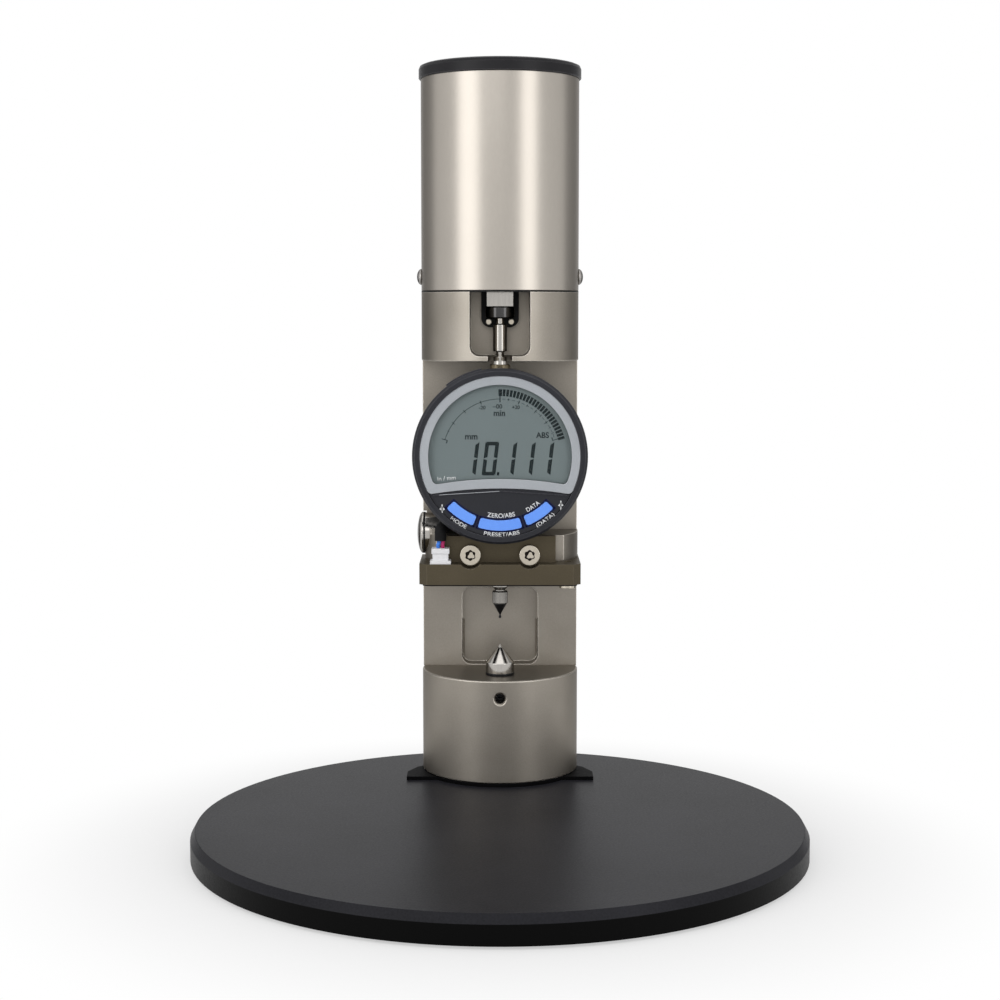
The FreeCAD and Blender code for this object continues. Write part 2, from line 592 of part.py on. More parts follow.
def make_column_foot():
    blank = turned("column_foot_blank", [
        ("0", "0"),
        ("column_radius - seam_bevel", "0"),
        ("column_radius", "seam_bevel"),
        ("column_radius", "foot_high - seam_bevel"),
        ("column_radius - seam_bevel", "foot_high"),
        ("0", "foot_high"),
    ], ("0", COLUMN_Y, FOOT_LOW))
    grub_z = f"({SHELF} - grub_below)"
    tools = [
        rod("long_hole_left", ("-bolt_aside", f"{COLUMN_Y} + bolt_behind", FOOT_LOW),
            "bolt_radius + slip", "foot_high"),
        rod("long_hole_right", ("bolt_aside", f"{COLUMN_Y} + bolt_behind", FOOT_LOW),
            "bolt_radius + slip", "foot_high"),
        rod("short_hole", ("0", f"{COLUMN_Y} - bolt_front", FOOT_LOW), "bolt_radius + slip",
            "short_bolt_grip + 1"),
        rod("anvil_hole", ("0", SPINDLE_Y, f"{SHELF} - shank_deep - 1"), "shank_radius + slip",
            "shank_deep + 1"),
        rod("front_hole", ("0", f"{COLUMN_Y} - column_radius", grub_z), "grub_radius + slip",
            "column_radius - spindle_front", "Y"),
        cone("front_sink", ("0", f"{COLUMN_Y} - column_radius - 0.01", grub_z), "grub_sink_radius",
             "grub_radius", "grub_sink_deep", "Y"),
        rod("side_hole", ("-column_radius", COLUMN_Y, grub_z), "grub_radius + slip", "side_hole_deep",
            "X"),
        cone("side_sink", ("-column_radius - 0.01", COLUMN_Y, grub_z), "grub_sink_radius", "grub_radius",
             "grub_sink_deep", "X"),
        rod("inlet_hole", ("0", f"{COLUMN_Y} + column_radius + 1", f"{FOOT_LOW} + power_up"),
            "power_radius + slip", "column_radius + 1 - power_channel_behind + channel_radius", "-Y"),
        rod("inlet_channel", ("0", f"{COLUMN_Y} + power_channel_behind", f"{FOOT_LOW} + power_up"),
            "channel_radius", "foot_high - power_up"),
    ]
    node(cut("column_foot", blank, tools), "column_foot")
    front = rod("front_grub", ("0", f"{SPINDLE_Y} - shank_radius - run", grub_z), "grub_radius",
                "grub_long", "-Y")
    side = rod("side_grub", ("-column_radius + side_hole_deep", COLUMN_Y, grub_z), "grub_radius",
               "grub_long", "-X")
    sockets = [
        hexagon("front_grub_socket", ("0", f"{SPINDLE_Y} - shank_radius - run - grub_long + 2", grub_z),
                "grub_radius * 0.6", "3", "-Y"),
        hexagon("side_grub_socket", ("-column_radius + side_hole_deep - grub_long + 2", COLUMN_Y, grub_z),
                "grub_radius * 0.6", "3", "-X"),
    ]
    grubs = [cut("front_set_screw", front, sockets[:1]), cut("side_set_screw", side, sockets[1:])]
    node(group("set_screws", grubs), "set_screws")


def make_power_socket():
    shell = turned("socket_shell", [
        ("power_bore", "0"),
        ("power_radius", "0"),
        ("power_radius", "power_deep"),
        ("power_flange", "power_deep"),
        ("power_flange", "power_deep + power_proud - edge_break"),
        ("power_flange - edge_break", "power_deep + power_proud"),
        ("power_bore", "power_deep + power_proud"),
    ], ("0", f"{COLUMN_Y} + column_radius - power_deep + 0.3", f"{FOOT_LOW} + power_up"), "Y")
    floor = rod("socket_floor",
                ("0", f"{COLUMN_Y} + column_radius - power_deep + 0.3", f"{FOOT_LOW} + power_up"),
                "power_radius", "1.2", "Y")
    pin = rod("socket_pin",
              ("0", f"{COLUMN_Y} + column_radius - power_deep + 0.3", f"{FOOT_LOW} + power_up"),
              "power_pin", "power_deep - 0.5", "Y")
    node(joined("power_socket", [shell, floor, pin]), "power_socket")


def make_anvil():
    ring = rod("ring_blank", ("0", SPINDLE_Y, SHELF), "seat_ring_radius", "seat_ring_thick")
    hole = rod("ring_hole", ("0", SPINDLE_Y, SHELF), "shank_radius + slip", "seat_ring_thick")
    node(cut("anvil_ring", ring, [hole]), "anvil_ring")
    wall = "shank_deep + seat_ring_thick + anvil_wall"
    anvil = turned("lower_anvil", [
        ("0", "0"),
        ("shank_radius - edge_break", "0"),
        ("shank_radius", "edge_break"),
        ("shank_radius", "shank_deep + seat_ring_thick"),
        ("anvil_radius", "shank_deep + seat_ring_thick"),
        ("anvil_radius", wall),
        ("anvil_point_radius", wall + " + anvil_cone"),
        ("0.12", wall + " + anvil_cone + anvil_point"),
        ("0", wall + " + anvil_cone + anvil_point"),
    ], ("0", SPINDLE_Y, f"{SHELF} - shank_deep"))
    node(anvil, "lower_anvil")


# Backbone, head ring and what is drilled through both.
def half_round(name, low, high):
    """The half of the column behind its front flat."""
    whole = rod(name + "_whole", ("0", COLUMN_Y, low), "column_radius", high)
    rear = box(name + "_rear", ("-column_radius", FLAT_Y, low),
               ("2 * column_radius", "column_radius", high))
    return shared(name, whole, rear)


def make_backbone():
    blank = half_round("backbone_blank", SHELF, "backbone_high")
    pocket_blank = box("pocket_blank", ("-recess_half", f"{FLAT_Y} - 1", f"{SHELF} + recess_sill"),
                       ("2 * recess_half", "recess_deep + 1", "recess_high"))
    pocket = rounded("pocket", pocket_blank, "recess_corner", Vector(0, 1, 0))
    back_hole = "pan_grip + 1"
    tools = [
        pocket,
        box("left_mill", ("-column_radius - 1", FLAT_Y, f"{HOLDER_LOW} - 0.6"),
            ("column_radius + 1 - left_flat", "column_radius", "left_flat_high")),
        rod("lead_hole", ("-lead_aside", FLAT_Y, f"{SHELF} + lead_up"), "sleeve_hole",
            "lead_channel_behind - flat_behind + channel_radius", "Y"),
        rod("lead_channel",
            ("-lead_aside", f"{COLUMN_Y} + lead_channel_behind", f"{SHELF} + lead_up - channel_radius"),
            "channel_radius", "backbone_high - lead_up + channel_radius"),
        rod("power_channel", ("0", f"{COLUMN_Y} + power_channel_behind", SHELF), "channel_radius",
            "backbone_high"),
    ]
    for side, sign in (("left", "-"), ("right", "")):
        tools.append(rod(f"backbone_bolt_{side}",
                         (sign + "bolt_aside", f"{COLUMN_Y} + bolt_behind", SHELF),
                         "bolt_radius + slip", "bolt_grip + 1"))
        tools.append(rod(f"backbone_pan_{side}", (sign + "pan_aside", FLAT_Y, f"{HOLDER_LOW} + pan_up"),
                         "pan_shank + slip", back_hole, "Y"))
        tools.append(rod(f"backbone_head_{side}",
                         (sign + "head_bolt_aside", f"{COLUMN_Y} + head_bolt_behind",
                          f"{HEAD_LOW} - head_bolt_grip - 1"),
                         "head_bolt_radius + slip", "head_bolt_grip + 1"))
    node(cut("column_backbone", blank, tools), "column_backbone")


def make_head():
    ring = turned("head_blank", [
        ("0", "0"),
        ("column_radius - seam_bevel", "0"),
        ("column_radius", "seam_bevel"),
        ("column_radius", "head_high - seam_bevel"),
        ("column_radius - seam_bevel", "head_high"),
        ("column_radius - cover_wall - slip", "head_high"),
        ("column_radius - cover_wall - slip", "head_high + neck_high"),
        ("neck_inner", "head_high + neck_high"),
        ("neck_inner", "head_high"),
        ("0", "head_high"),
    ], ("0", COLUMN_Y, HEAD_LOW))
    front = f"{COLUMN_Y} - column_radius - 1"
    opening = box("window_blank", ("-window_half", front, f"{HEAD_LOW} + window_sill"),
                  ("2 * window_half", "column_radius + 1 - window_back", "head_high - window_sill + 8"))
    window = rounded("window", opening, "window_corner", Vector(0, 1, 0), keep_low_half(opening))
    limit = box("window_limit", ("-window_half", front, HEAD_LOW),
                ("2 * window_half", "column_radius + 1", "head_high"))
    tools = [
        shared("window_cut", window, limit),
        rod("notch_round", ("0", SPINDLE_Y, HEAD_LOW), "notch_half", "window_sill"),
        box("notch_slot", ("-notch_half", front, HEAD_LOW),
            ("2 * notch_half", "column_radius + 1 - spindle_front", "window_sill")),
        rod("head_power", ("0", f"{COLUMN_Y} + power_channel_behind", HEAD_LOW), "channel_radius",
            "head_high"),
        rod("head_lead", ("-lead_aside", f"{COLUMN_Y} + lead_channel_behind", HEAD_LOW), "channel_radius",
            "head_high"),
    ]
    for side, sign in (("left", "-"), ("right", "")):
        place = (sign + "head_bolt_aside", f"{COLUMN_Y} + head_bolt_behind")
        tools.append(rod(f"head_bolt_{side}", place + (HEAD_LOW,), "head_bolt_radius + slip",
                         "head_high"))
        tools.append(rod(f"head_bore_{side}", place + (f"{HEAD_TOP} - head_bolt_head_high - head_bolt_sunk",),
                         "head_bolt_head + slip", "head_bolt_head_high + head_bolt_sunk"))
        tools.append(rod(f"neck_screw_{side}",
                         (sign + "column_radius", COLUMN_Y, f"{HEAD_TOP} + button_up"),
                         "button_shank + slip", "column_radius - neck_inner + 1", "X" if sign else "-X"))
        tools.append(rod(f"guide_pin_hole_{side}", (sign + "guide_pin_aside", GUIDE_BACK, pin_height()),
                         "guide_pin_radius + slip", "4", "Y"))
    node(cut("column_head", ring, tools), "column_head")
    screws = []
    for side, sign in (("left", "-"), ("right", "")):
        place = (sign + "head_bolt_aside", f"{COLUMN_Y} + head_bolt_behind",
                 f"{HEAD_TOP} - head_bolt_head_high - head_bolt_sunk")
        screws.append(headed_screw(f"head_screw_{side}", place, "Z", "head_bolt_head",
                                   "head_bolt_head_high",
                                   "head_bolt_radius",
                                   "head_high - head_bolt_head_high - head_bolt_sunk + head_bolt_grip"))
    node(group("head_screws", screws), "head_screws")


def keep_low_half(item):
    """Pick the edges in the lower half of an item."""
    doc.recompute()
    middle = item.Shape.BoundBox.Center.z
    return lambda place: place.z < middle


def pin_height():
    return f"({HEAD_LOW} + guide_low + guide_pin_up)"


# Stem holder, its screws and the start button on its left side.
def make_holder():
    whole = rod("holder_whole", ("0", COLUMN_Y, HOLDER_LOW), "column_radius", "holder_high")
    limit = box("holder_limit", ("-left_flat", f"{COLUMN_Y} - holder_front", HOLDER_LOW),
                ("left_flat + column_radius", "holder_front + flat_behind", "holder_high"))
    slab = shared("holder_slab", whole, limit)
    boss_whole = rod("boss_whole", ("0", COLUMN_Y, HOLDER_LOW), "column_radius",
                     "holder_high + boss_high")
    boss_limit = box("boss_limit", ("-left_flat", f"{COLUMN_Y} - boss_front", HOLDER_LOW),
                     ("left_flat - boss_inner", "boss_front + flat_behind", "holder_high + boss_high"))
    boss = shared("holder_boss", boss_whole, boss_limit)
    blank = joined("holder_blank", [slab, boss])
    tools = [
        rod("holder_bore", ("0", SPINDLE_Y, HOLDER_LOW), "stem_radius + run", "holder_high"),
        rod("holder_saddle", ("-column_radius", START_Y, START_Z), "start_shell + run",
            "column_radius - boss_inner", "X"),
    ]
    for side, sign in (("left", "-"), ("right", "")):
        tools.append(rod(f"holder_pan_{side}",
                         (sign + "pan_aside", f"{COLUMN_Y} - holder_front", f"{HOLDER_LOW} + pan_up"),
                         "pan_shank + slip", "holder_front + flat_behind", "Y"))
        tools.append(rod(f"holder_hang_{side}",
                         (sign + "bracket_bolt_aside", f"{COLUMN_Y} - bracket_bolt_front", HOLDER_LOW),
                         "bracket_bolt_radius + slip", "bracket_bolt_grip + 1"))
    node(cut("stem_holder", blank, tools), "stem_holder")
    screws = []
    for side, sign in (("left", "-"), ("right", "")):
        place = (sign + "pan_aside", f"{COLUMN_Y} - flange_front", f"{HOLDER_LOW} + pan_up")
        screws.append(headed_screw(f"pan_{side}", place, "-Y", "pan_radius", "pan_high", "pan_shank",
                                   "flange_front + flat_behind + pan_grip"))
    node(group("holder_screws", screws), "holder_screws")


def make_start_button():
    seat = "left_flat"
    at = (f"-{seat}", START_Y, START_Z)
    shell = rod("start_shell_blank", at, "start_shell", f"{seat} - boss_inner", "X")
    bore = rod("start_shell_bore", at, "start_stem + run", f"{seat} - boss_inner", "X")
    node(cut("start_housing", shell, [bore]), "start_housing")
    ring = rod("seal_blank", at, "start_radius", "start_seal", "-X")
    hole = rod("seal_hole", at, "start_cap_radius + 0.3", "start_seal", "-X")
    node(cut("start_seal", ring, [hole]), "start_seal")
    face = (f"-{seat} - start_seal", START_Y, START_Z)
    inner = "start_cap_radius + run"
    bezel = turned("start_bezel", [
        (inner, "0"),
        ("start_radius", "0"),
        ("start_radius", "start_high * 0.25"),
        ("start_radius - 0.5", "start_high * 0.47"),
        ("start_radius - 1.4", "start_high * 0.67"),
        (inner, "start_high * 0.8"),
    ], face, "-X")
    node(bezel, "start_bezel")
    cap = turned("start_cap", [
        ("0", "-start_stem_long"),
        ("start_stem", "-start_stem_long"),
        ("start_stem", "start_travel + 0.1"),
        ("start_cap_radius", "start_travel + 0.1"),
        ("start_cap_radius", "start_high * 0.8"),
        ("start_cap_radius * 0.7", "start_high * 0.92"),
        ("start_cap_radius * 0.35", "start_high * 0.99"),
        ("0", "start_high"),
    ], face, "-X")
    node(cap, "start_cap")


# Lamp bracket under the holder, with its board, window, cover and lead.
def make_bracket():
    across = "bracket_half - bracket_corner"
    level = plate("bracket_level", [
        (f"-({across})", "-bracket_front"),
        (across, "-bracket_front"),
        ("bracket_half", "-bracket_front + bracket_corner"),
        ("bracket_half", "flat_behind"),
        ("-bracket_half", "flat_behind"),
        ("-bracket_half", "-bracket_front + bracket_corner"),
    ], "bracket_thick", ("0", COLUMN_Y, BRACKET_LOW))
    flange = box("bracket_flange", ("-flange_half", f"{COLUMN_Y} - flange_front", BRACKET_LOW),
                 ("2 * flange_half", "flange_thick", "bracket_thick + flange_high"))
    blank = joined("bracket_blank", [level, flange])
    tools = [
        rod("bracket_bore", ("0", SPINDLE_Y, BRACKET_LOW), "stem_radius + slip",
            "bracket_thick + flange_high"),
        rod("lamp_recess", ("0", SPINDLE_Y, BRACKET_LOW), "lamp_recess_radius", "lamp_recess_deep"),
    ]
    hang, lamp = [], []
    for side, sign in (("left", "-"), ("right", "")):
        tools.append(rod(f"bracket_notch_{side}",
                         (sign + "pan_aside", f"{COLUMN_Y} - bracket_front", f"{HOLDER_LOW} + pan_up"),
                         "bracket_notch", "bracket_front - flange_front", "Y"))
        tools.append(rod(f"flange_hole_{side}",
                         (sign + "pan_aside", f"{COLUMN_Y} - flange_front", f"{HOLDER_LOW} + pan_up"),
                         "pan_shank + slip", "flange_thick", "Y"))
        place = (sign + "bracket_bolt_aside", f"{COLUMN_Y} - bracket_bolt_front")
        seat = f"({BRACKET_LOW} + lamp_recess_deep)"
        tools.append(rod(f"hang_hole_{side}", place + (BRACKET_LOW,), "bracket_bolt_radius + slip",
                         "bracket_thick"))
        tools.append(rod(f"hang_bore_{side}", place + (BRACKET_LOW,), "bracket_bolt_head + slip",
                         "lamp_recess_deep"))
        hang.append(headed_screw(f"hang_{side}", place + (seat,), "-Z", "bracket_bolt_head", "1.4",
                                 "bracket_bolt_radius",
                                 "bracket_thick - lamp_recess_deep + bracket_bolt_grip"))
        corner = (sign + "lamp_screw_aside", f"{COLUMN_Y} - lamp_screw_{side}")
        tools.append(rod(f"lamp_hole_{side}", corner + (BRACKET_LOW,), "lamp_screw_radius + slip",
                         "bracket_thick"))
        lamp.append(headed_screw(f"lamp_screw_{side}", corner + (f"{BRACKET_LOW} - lamp_cover_thick",),
                                 "-Z",
                                 "lamp_screw_head", "lamp_screw_proud", "lamp_screw_radius",
                                 "lamp_cover_thick + bracket_thick - 1"))
    node(cut("lamp_bracket", blank, tools), "lamp_bracket")
    node(group("bracket_screws", hang), "bracket_screws")
    node(group("lamp_screws", lamp), "lamp_screws")


def make_lamp():
    inset = "lamp_cover_inset"
    cover_low = f"({BRACKET_LOW} - lamp_cover_thick)"
    across = "bracket_half - bracket_corner"
    blank = plate("lamp_cover_blank", [
        (f"-({across})", f"-bracket_front + {inset}"),
        (across, f"-bracket_front + {inset}"),
        (f"bracket_half - {inset}", "-bracket_front + bracket_corner"),
        (f"bracket_half - {inset}", "0"),
        (f"-(bracket_half - {inset})", "0"),
        (f"-(bracket_half - {inset})", "-bracket_front + bracket_corner"),
    ], "lamp_cover_thick", ("0", COLUMN_Y, cover_low))
    tools = [rod("cover_window", ("0", SPINDLE_Y, cover_low), "lamp_window_radius + slip",
                 "lamp_cover_thick")]
    for side, sign in (("left", "-"), ("right", "")):
        tools.append(rod(f"cover_hole_{side}",
                         (sign + "lamp_screw_aside", f"{COLUMN_Y} - lamp_screw_{side}", cover_low),
                         "lamp_screw_radius + slip", "lamp_cover_thick"))
    node(cut("lamp_cover", blank, tools), "lamp_cover")
    board = turned("lamp_board_blank", [
        ("lamp_hole", "0"),
        ("lamp_recess_radius - slip", "0"),
        ("lamp_recess_radius - slip", "lamp_board_thick"),
        ("lamp_hole", "lamp_board_thick"),
    ], ("0", SPINDLE_Y, f"{BRACKET_LOW} + lamp_recess_deep - lamp_board_thick"))
    cuts = []
    for side, sign in (("left", "-"), ("right", "")):
        cuts.append(rod(f"board_clear_{side}",
                        (sign + "bracket_bolt_aside", f"{COLUMN_Y} - bracket_bolt_front", BRACKET_LOW),
                        "bracket_bolt_head + 0.3", "lamp_recess_deep"))
    node(cut("lamp_board", board, cuts), "lamp_board")


def make_connector():
    middle = f"({COLUMN_Y} - plug_front)"
    low = HOLDER_LOW
    deep = "plug_deep"
    flange = box("socket_flange", ("-plug_aside - plug_flange_wide / 2", f"{middle} - {deep} / 2", low),
                 ("plug_flange_wide", deep, "plug_flange_high"))
    body = box("socket_body",
               ("-plug_aside - plug_body_wide / 2", f"{middle} - {deep} / 2 + plug_inset", low),
               ("plug_body_wide", f"{deep} - 2 * plug_inset", "plug_flange_high + plug_body_high"))
    top = f"({low} + plug_flange_high + plug_body_high)"
    hollow = box("socket_hollow", ("-plug_aside - plug_body_wide / 2 + plug_shell",
                                   f"{middle} - {deep} / 2 + plug_inset + plug_shell",
                                   f"{top} - plug_tongue - plug_inset"),
                 ("plug_body_wide - 2 * plug_shell", f"{deep} - 2 * plug_inset - 2 * plug_shell",
                  "plug_tongue + plug_inset"))
    node(cut("connector_socket", joined("socket_blank", [flange, body]), [hollow]), "connector_socket")
    lip = box("plug_lip", ("-plug_aside - plug_lip_wide / 2", f"{middle} - {deep} / 2", top),
              ("plug_lip_wide", deep, "plug_lip_high"))
    tongue = box("plug_tongue", ("-plug_aside - plug_body_wide / 2 + plug_shell + slip",
                                 f"{middle} - {deep} / 2 + plug_inset + plug_shell + slip",
                                 f"{top} - plug_tongue"),
                 ("plug_body_wide - 2 * plug_shell - 2 * slip",
                  f"{deep} - 2 * plug_inset - 2 * plug_shell - 2 * slip", "plug_tongue"))
    node(joined("connector_plug", [lip, tongue]), "connector_plug")
    plug_top = f"({top} + plug_lip_high)"
    wires = [
        rod("wire_left", ("-plug_aside - wire_apart", middle, plug_top), "wire_radius", "wire_high"),
        rod("wire_right", ("-plug_aside + wire_apart", middle, plug_top), "wire_radius", "wire_high"),
    ]
    node(group("lamp_wires", wires), "lamp_wires")


def size(text):
    """Read one size from the sheet."""
    return float(sheet.get(text))


def make_sleeve():
    """The lead's sleeve: straight runs joined by tangent arcs, swept with a round section."""
    doc.recompute()
    wire_left, wire_right = doc.getObject("wire_left"), doc.getObject("wire_right")
    start = (wire_left.Placement.Base + wire_right.Placement.Base) / 2
    start = start + Vector(0, 0, wire_left.Height.Value)
    hole = doc.getObject("lead_hole")
    end = hole.Placement.Base + Vector(0, hole.Height.Value - size("channel_radius") - 2, 0)
    route = [
        start,
        start + Vector(0, 0, size("sleeve_rise")),
        Vector(end.x, start.y + size("sleeve_first_bend"), end.z),
        Vector(end.x - 0.2, start.y + size("sleeve_second_bend"), end.z + 0.1),
        end,
    ]
    edges, last, radii = [], route[0], []
    for before, corner, after in zip(route, route[1:], route[2:]):
        into = (corner - before).normalize()
        out = (after - corner).normalize()
        reach = size("sleeve_reach_share") * min((corner - before).Length, (after - corner).Length)
        start, end = corner - into * reach, corner + out * reach
        half_turn = into.getAngle(out) / 2
        radii.append(reach / math.tan(half_turn))
        inward = (out - into).normalize()
        depth = radii[-1] * (1 / math.cos(half_turn) - 1)
        edges.append(Part.LineSegment(last, start).toShape())
        edges.append(Part.Arc(start, corner + inward * depth, end).toShape())
        last = end
    edges.append(Part.LineSegment(last, route[-1]).toShape())
    path = Part.Wire(edges)
    ring = Part.Circle(route[0], (route[1] - route[0]).normalize(), size("sleeve_radius")).toShape()
    tube = path.makePipeShell([Part.Wire([ring])], True, True)
    ideal = Part.Face(Part.Wire([ring])).Area * path.Length
    print("sleeve radii", [round(radius, 1) for radius in radii], "volume share",
          round(tube.Volume / ideal, 4))
    item = doc.addObject("Part::Feature", "cable_sleeve")
    item.Shape = tube
    item.Placement = FreeCAD.Placement()
    node(item, "cable_sleeve")


# Gauge case, back and stem, in a frame whose Z points to the front.
DIAL = ("0", SPINDLE_Y, DIAL_Z)


def make_case():
    inner = "case_radius - case_wall"
    step = "case_front + case_step"
    cup = turned("case_cup", [
        ("0", step),
        ("case_step_radius", step),
        ("case_step_radius", "case_front"),
        ("case_radius - 0.5", "case_front"),
        ("case_radius", "case_front - 0.5"),
        ("case_radius", "-case_back"),
        (inner, "-case_back"),
        (inner, "case_front - case_face"),
        ("0", "case_front - case_face"),
    ], DIAL, "-Y")
    tools = [
        rod("case_bore", ("0", SPINDLE_Y, f"{DIAL_Z} - case_radius"), "spindle_radius + run",
            "2 * case_radius"),
        rod("case_cap_bore", ("0", SPINDLE_Y, f"{SPINDLE_TOP} - lift_down - 0.5"), "rod_radius + run",
            "spindle_top + lift_down + 1"),
        rod("case_stem_hole", ("0", SPINDLE_Y, f"{DIAL_Z} - case_radius - 1"), "stem_radius + slip",
            "case_wall + 3"),
        box("case_flat", ("-6", f"{SPINDLE_Y} - 6", CASE_TOP), ("12", "12", "2")),
    ]
    screws = []
    for number, (right, up) in enumerate([(1, 1), (-1, 1), (-1, -1), (1, -1)]):
        x = f"({right}) * back_screw_ring * sqrt(0.5)"
        z = f"{DIAL_Z} + ({up}) * back_screw_ring * sqrt(0.5)"
        tools.append(rod(f"case_screw_hole_{number}", (x, f"{SPINDLE_Y} + case_back", z),
                         "back_screw_radius + slip",
                         "back_screw_grip + 1", "-Y"))
        screws.append(headed_screw(f"back_screw_{number}",
                                   (x, f"{SPINDLE_Y} + case_back + back_cover_thick", z), "Y",
                                   "back_screw_head", "back_screw_proud", "back_screw_radius",
                                   "back_screw_grip + back_cover_thick"))
    node(cut("gauge_case", cup, tools), "gauge_case")
    cover = turned("back_cover_blank", [
        ("0", "0"),
        ("back_cover_radius", "0"),
        ("back_cover_radius", "back_cover_thick - edge_break"),
        ("back_cover_radius - edge_break", "back_cover_thick"),
        ("0", "back_cover_thick"),
    ], ("0", f"{SPINDLE_Y} + case_back", DIAL_Z), "Y")
    holes = []
    for number, (right, up) in enumerate([(1, 1), (-1, 1), (-1, -1), (1, -1)]):
        x = f"({right}) * back_screw_ring * sqrt(0.5)"
        z = f"{DIAL_Z} + ({up}) * back_screw_ring * sqrt(0.5)"
        holes.append(rod(f"cover_screw_hole_{number}", (x, f"{SPINDLE_Y} + case_back", z),
                         "back_screw_radius + slip",
                         "back_cover_thick", "Y"))
    node(cut("gauge_back", cover, holes), "gauge_back")
    node(group("gauge_back_screws", screws), "gauge_back_screws")
    stem_low = f"({SHELF} + stem_low)"
    stem_high = f"({DIAL_Z} - case_radius + stem_sunk)"
    stem = rod("stem_blank", ("0", SPINDLE_Y, stem_low), "stem_radius", f"{stem_high} - {stem_low}")
    bore = rod("stem_bore", ("0", SPINDLE_Y, stem_low), "spindle_radius + run",
               f"{stem_high} - {stem_low}")
    node(cut("gauge_stem", stem, [bore]), "gauge_stem")
    bush = turned("top_bush", [
        ("rod_radius + run", "0"),
        ("bush_radius", "0"),
        ("bush_radius", "bush_high"),
        ("rod_radius + run", "bush_high"),
    ], ("0", SPINDLE_Y, CASE_TOP))
    node(bush, "top_bush")


# Turning display: bezel, board, cell, panel, frame, glass and three buttons.
PANEL_LOW = "(case_front + case_step + board_gap + screen_board_thick + screen_thick)"
PANEL_TOP = f"({PANEL_LOW} + panel_thick)"


def at_front(height):
    return ("0", f"{SPINDLE_Y} - ({height})", DIAL_Z)


def window_shape(name, radius, drop, bow, low, thick):
    """A disc whose lower part is cut off by a wide arc."""
    disc = rod(name + "_disc", at_front(low), radius, thick, "-Y")
    below = rod(name + "_below", ("0", f"{SPINDLE_Y} - ({low}) + 0.5", f"{DIAL_Z} - ({drop}) - ({bow})"),
                bow,
                f"({thick}) + 1", "-Y")
    return cut(name, disc, [below])


def sector(name, inner, outer, start, sweep, low, thick):
    """Part of a ring in the dial plane, from start degrees, counter-clockwise from the right."""
    wedge = tie(doc.addObject("Part::Cylinder", name + "_wedge"), Radius=outer, Height=thick, Angle=sweep)
    wedge.setExpression("Placement.Rotation.Angle", linked(start))
    core = tie(doc.addObject("Part::Cylinder", name + "_core"), Radius=inner, Height=thick)
    flat = cut(name, wedge, [core])
    return put(flat, at_front(low), "-Y")


KEYS = [
    ("mode_button", "270 - side_key_start - side_key_sweep", "side_key_sweep"),
    ("zero_button", "270 - middle_key_half", "2 * middle_key_half"),
    ("data_button", "270 + side_key_start", "side_key_sweep"),
]


def make_display():
    low = "case_front + run"
    inner_step = "case_front + case_step + 0.2"
    ring = turned("bezel_blank", [
        ("case_step_radius + run", low),
        ("bezel_radius - edge_break", low),
        ("bezel_radius", low + " + edge_break"),
        ("bezel_radius", "case_front + bezel_high - bezel_edge"),
        ("bezel_radius - 0.85", "case_front + bezel_high"),
        ("bezel_lip + 0.1", "case_front + bezel_high"),
        ("bezel_lip + 0.1", inner_step),
        ("case_step_radius + run", inner_step),
    ], DIAL, "-Y")
    grip = sector("bezel_grip", "bezel_lip + 1", "bezel_radius + grip_out", "90 + grip_start",
                  "grip_sweep",
                  "case_front + 1.2", "bezel_high - 2.4")
    node(joined("bezel_ring", [ring, grip]), "bezel_ring")
    board_low = "(case_front + case_step + board_gap)"
    node(rod("display_board", at_front(board_low), "bezel_lip", "screen_board_thick", "-Y"),
         "display_board")
    cell = window_shape("lcd_panel", "glass_radius + 0.4", "glass_drop + 0.6", "glass_bow",
                        f"{board_low} + screen_board_thick", "screen_thick")
    node(cell, "lcd_panel")
    panel = rod("panel_blank", at_front(PANEL_LOW), "bezel_lip", "panel_thick", "-Y")
    opening_sharp = window_shape("panel_window", "glass_radius", "glass_drop", "glass_bow", PANEL_LOW,
                                 "panel_thick + 2")
    opening = rounded("panel_opening", opening_sharp, "glass_corner", Vector(0, 1, 0))
    tools = [opening]
    for name, start, sweep in KEYS:
        tools.append(sector(name + "_hole", "key_inner - key_gap", "key_outer + key_gap",
                            f"{start} - 0.5",
                            f"{sweep} + 1", PANEL_LOW, "panel_thick"))
    node(cut("face_panel", panel, tools), "face_panel")
    glass_sharp = window_shape("glass_blank", "glass_radius - slip", "glass_drop - slip", "glass_bow",
                               PANEL_LOW,
                               "panel_thick - 0.1")
    node(rounded("display_glass", glass_sharp, "glass_corner", Vector(0, 1, 0)), "display_glass")
    rim = window_shape("frame_blank", "bezel_lip", "frame_drop", "frame_bow", PANEL_TOP, "frame_proud")
    rim_round = rounded("frame_round", rim, "glass_corner", Vector(0, 1, 0))
    hole_sharp = window_shape("frame_window", "glass_radius", "glass_drop", "glass_bow",
                              f"{PANEL_TOP} - 0.5",
                              "frame_proud + 1")
    hole = rounded("frame_hole", hole_sharp, "glass_corner", Vector(0, 1, 0))
    node(cut("display_frame", rim_round, [hole]), "display_frame")
    for name, start, sweep in KEYS:
        key = sector(name + "_blank", "key_inner", "key_outer", start, sweep, f"{PANEL_LOW} - key_sunk",
                     "panel_thick + key_sunk + key_proud")
        node(rounded(name, key, "key_round", Vector(0, 1, 0)), name)


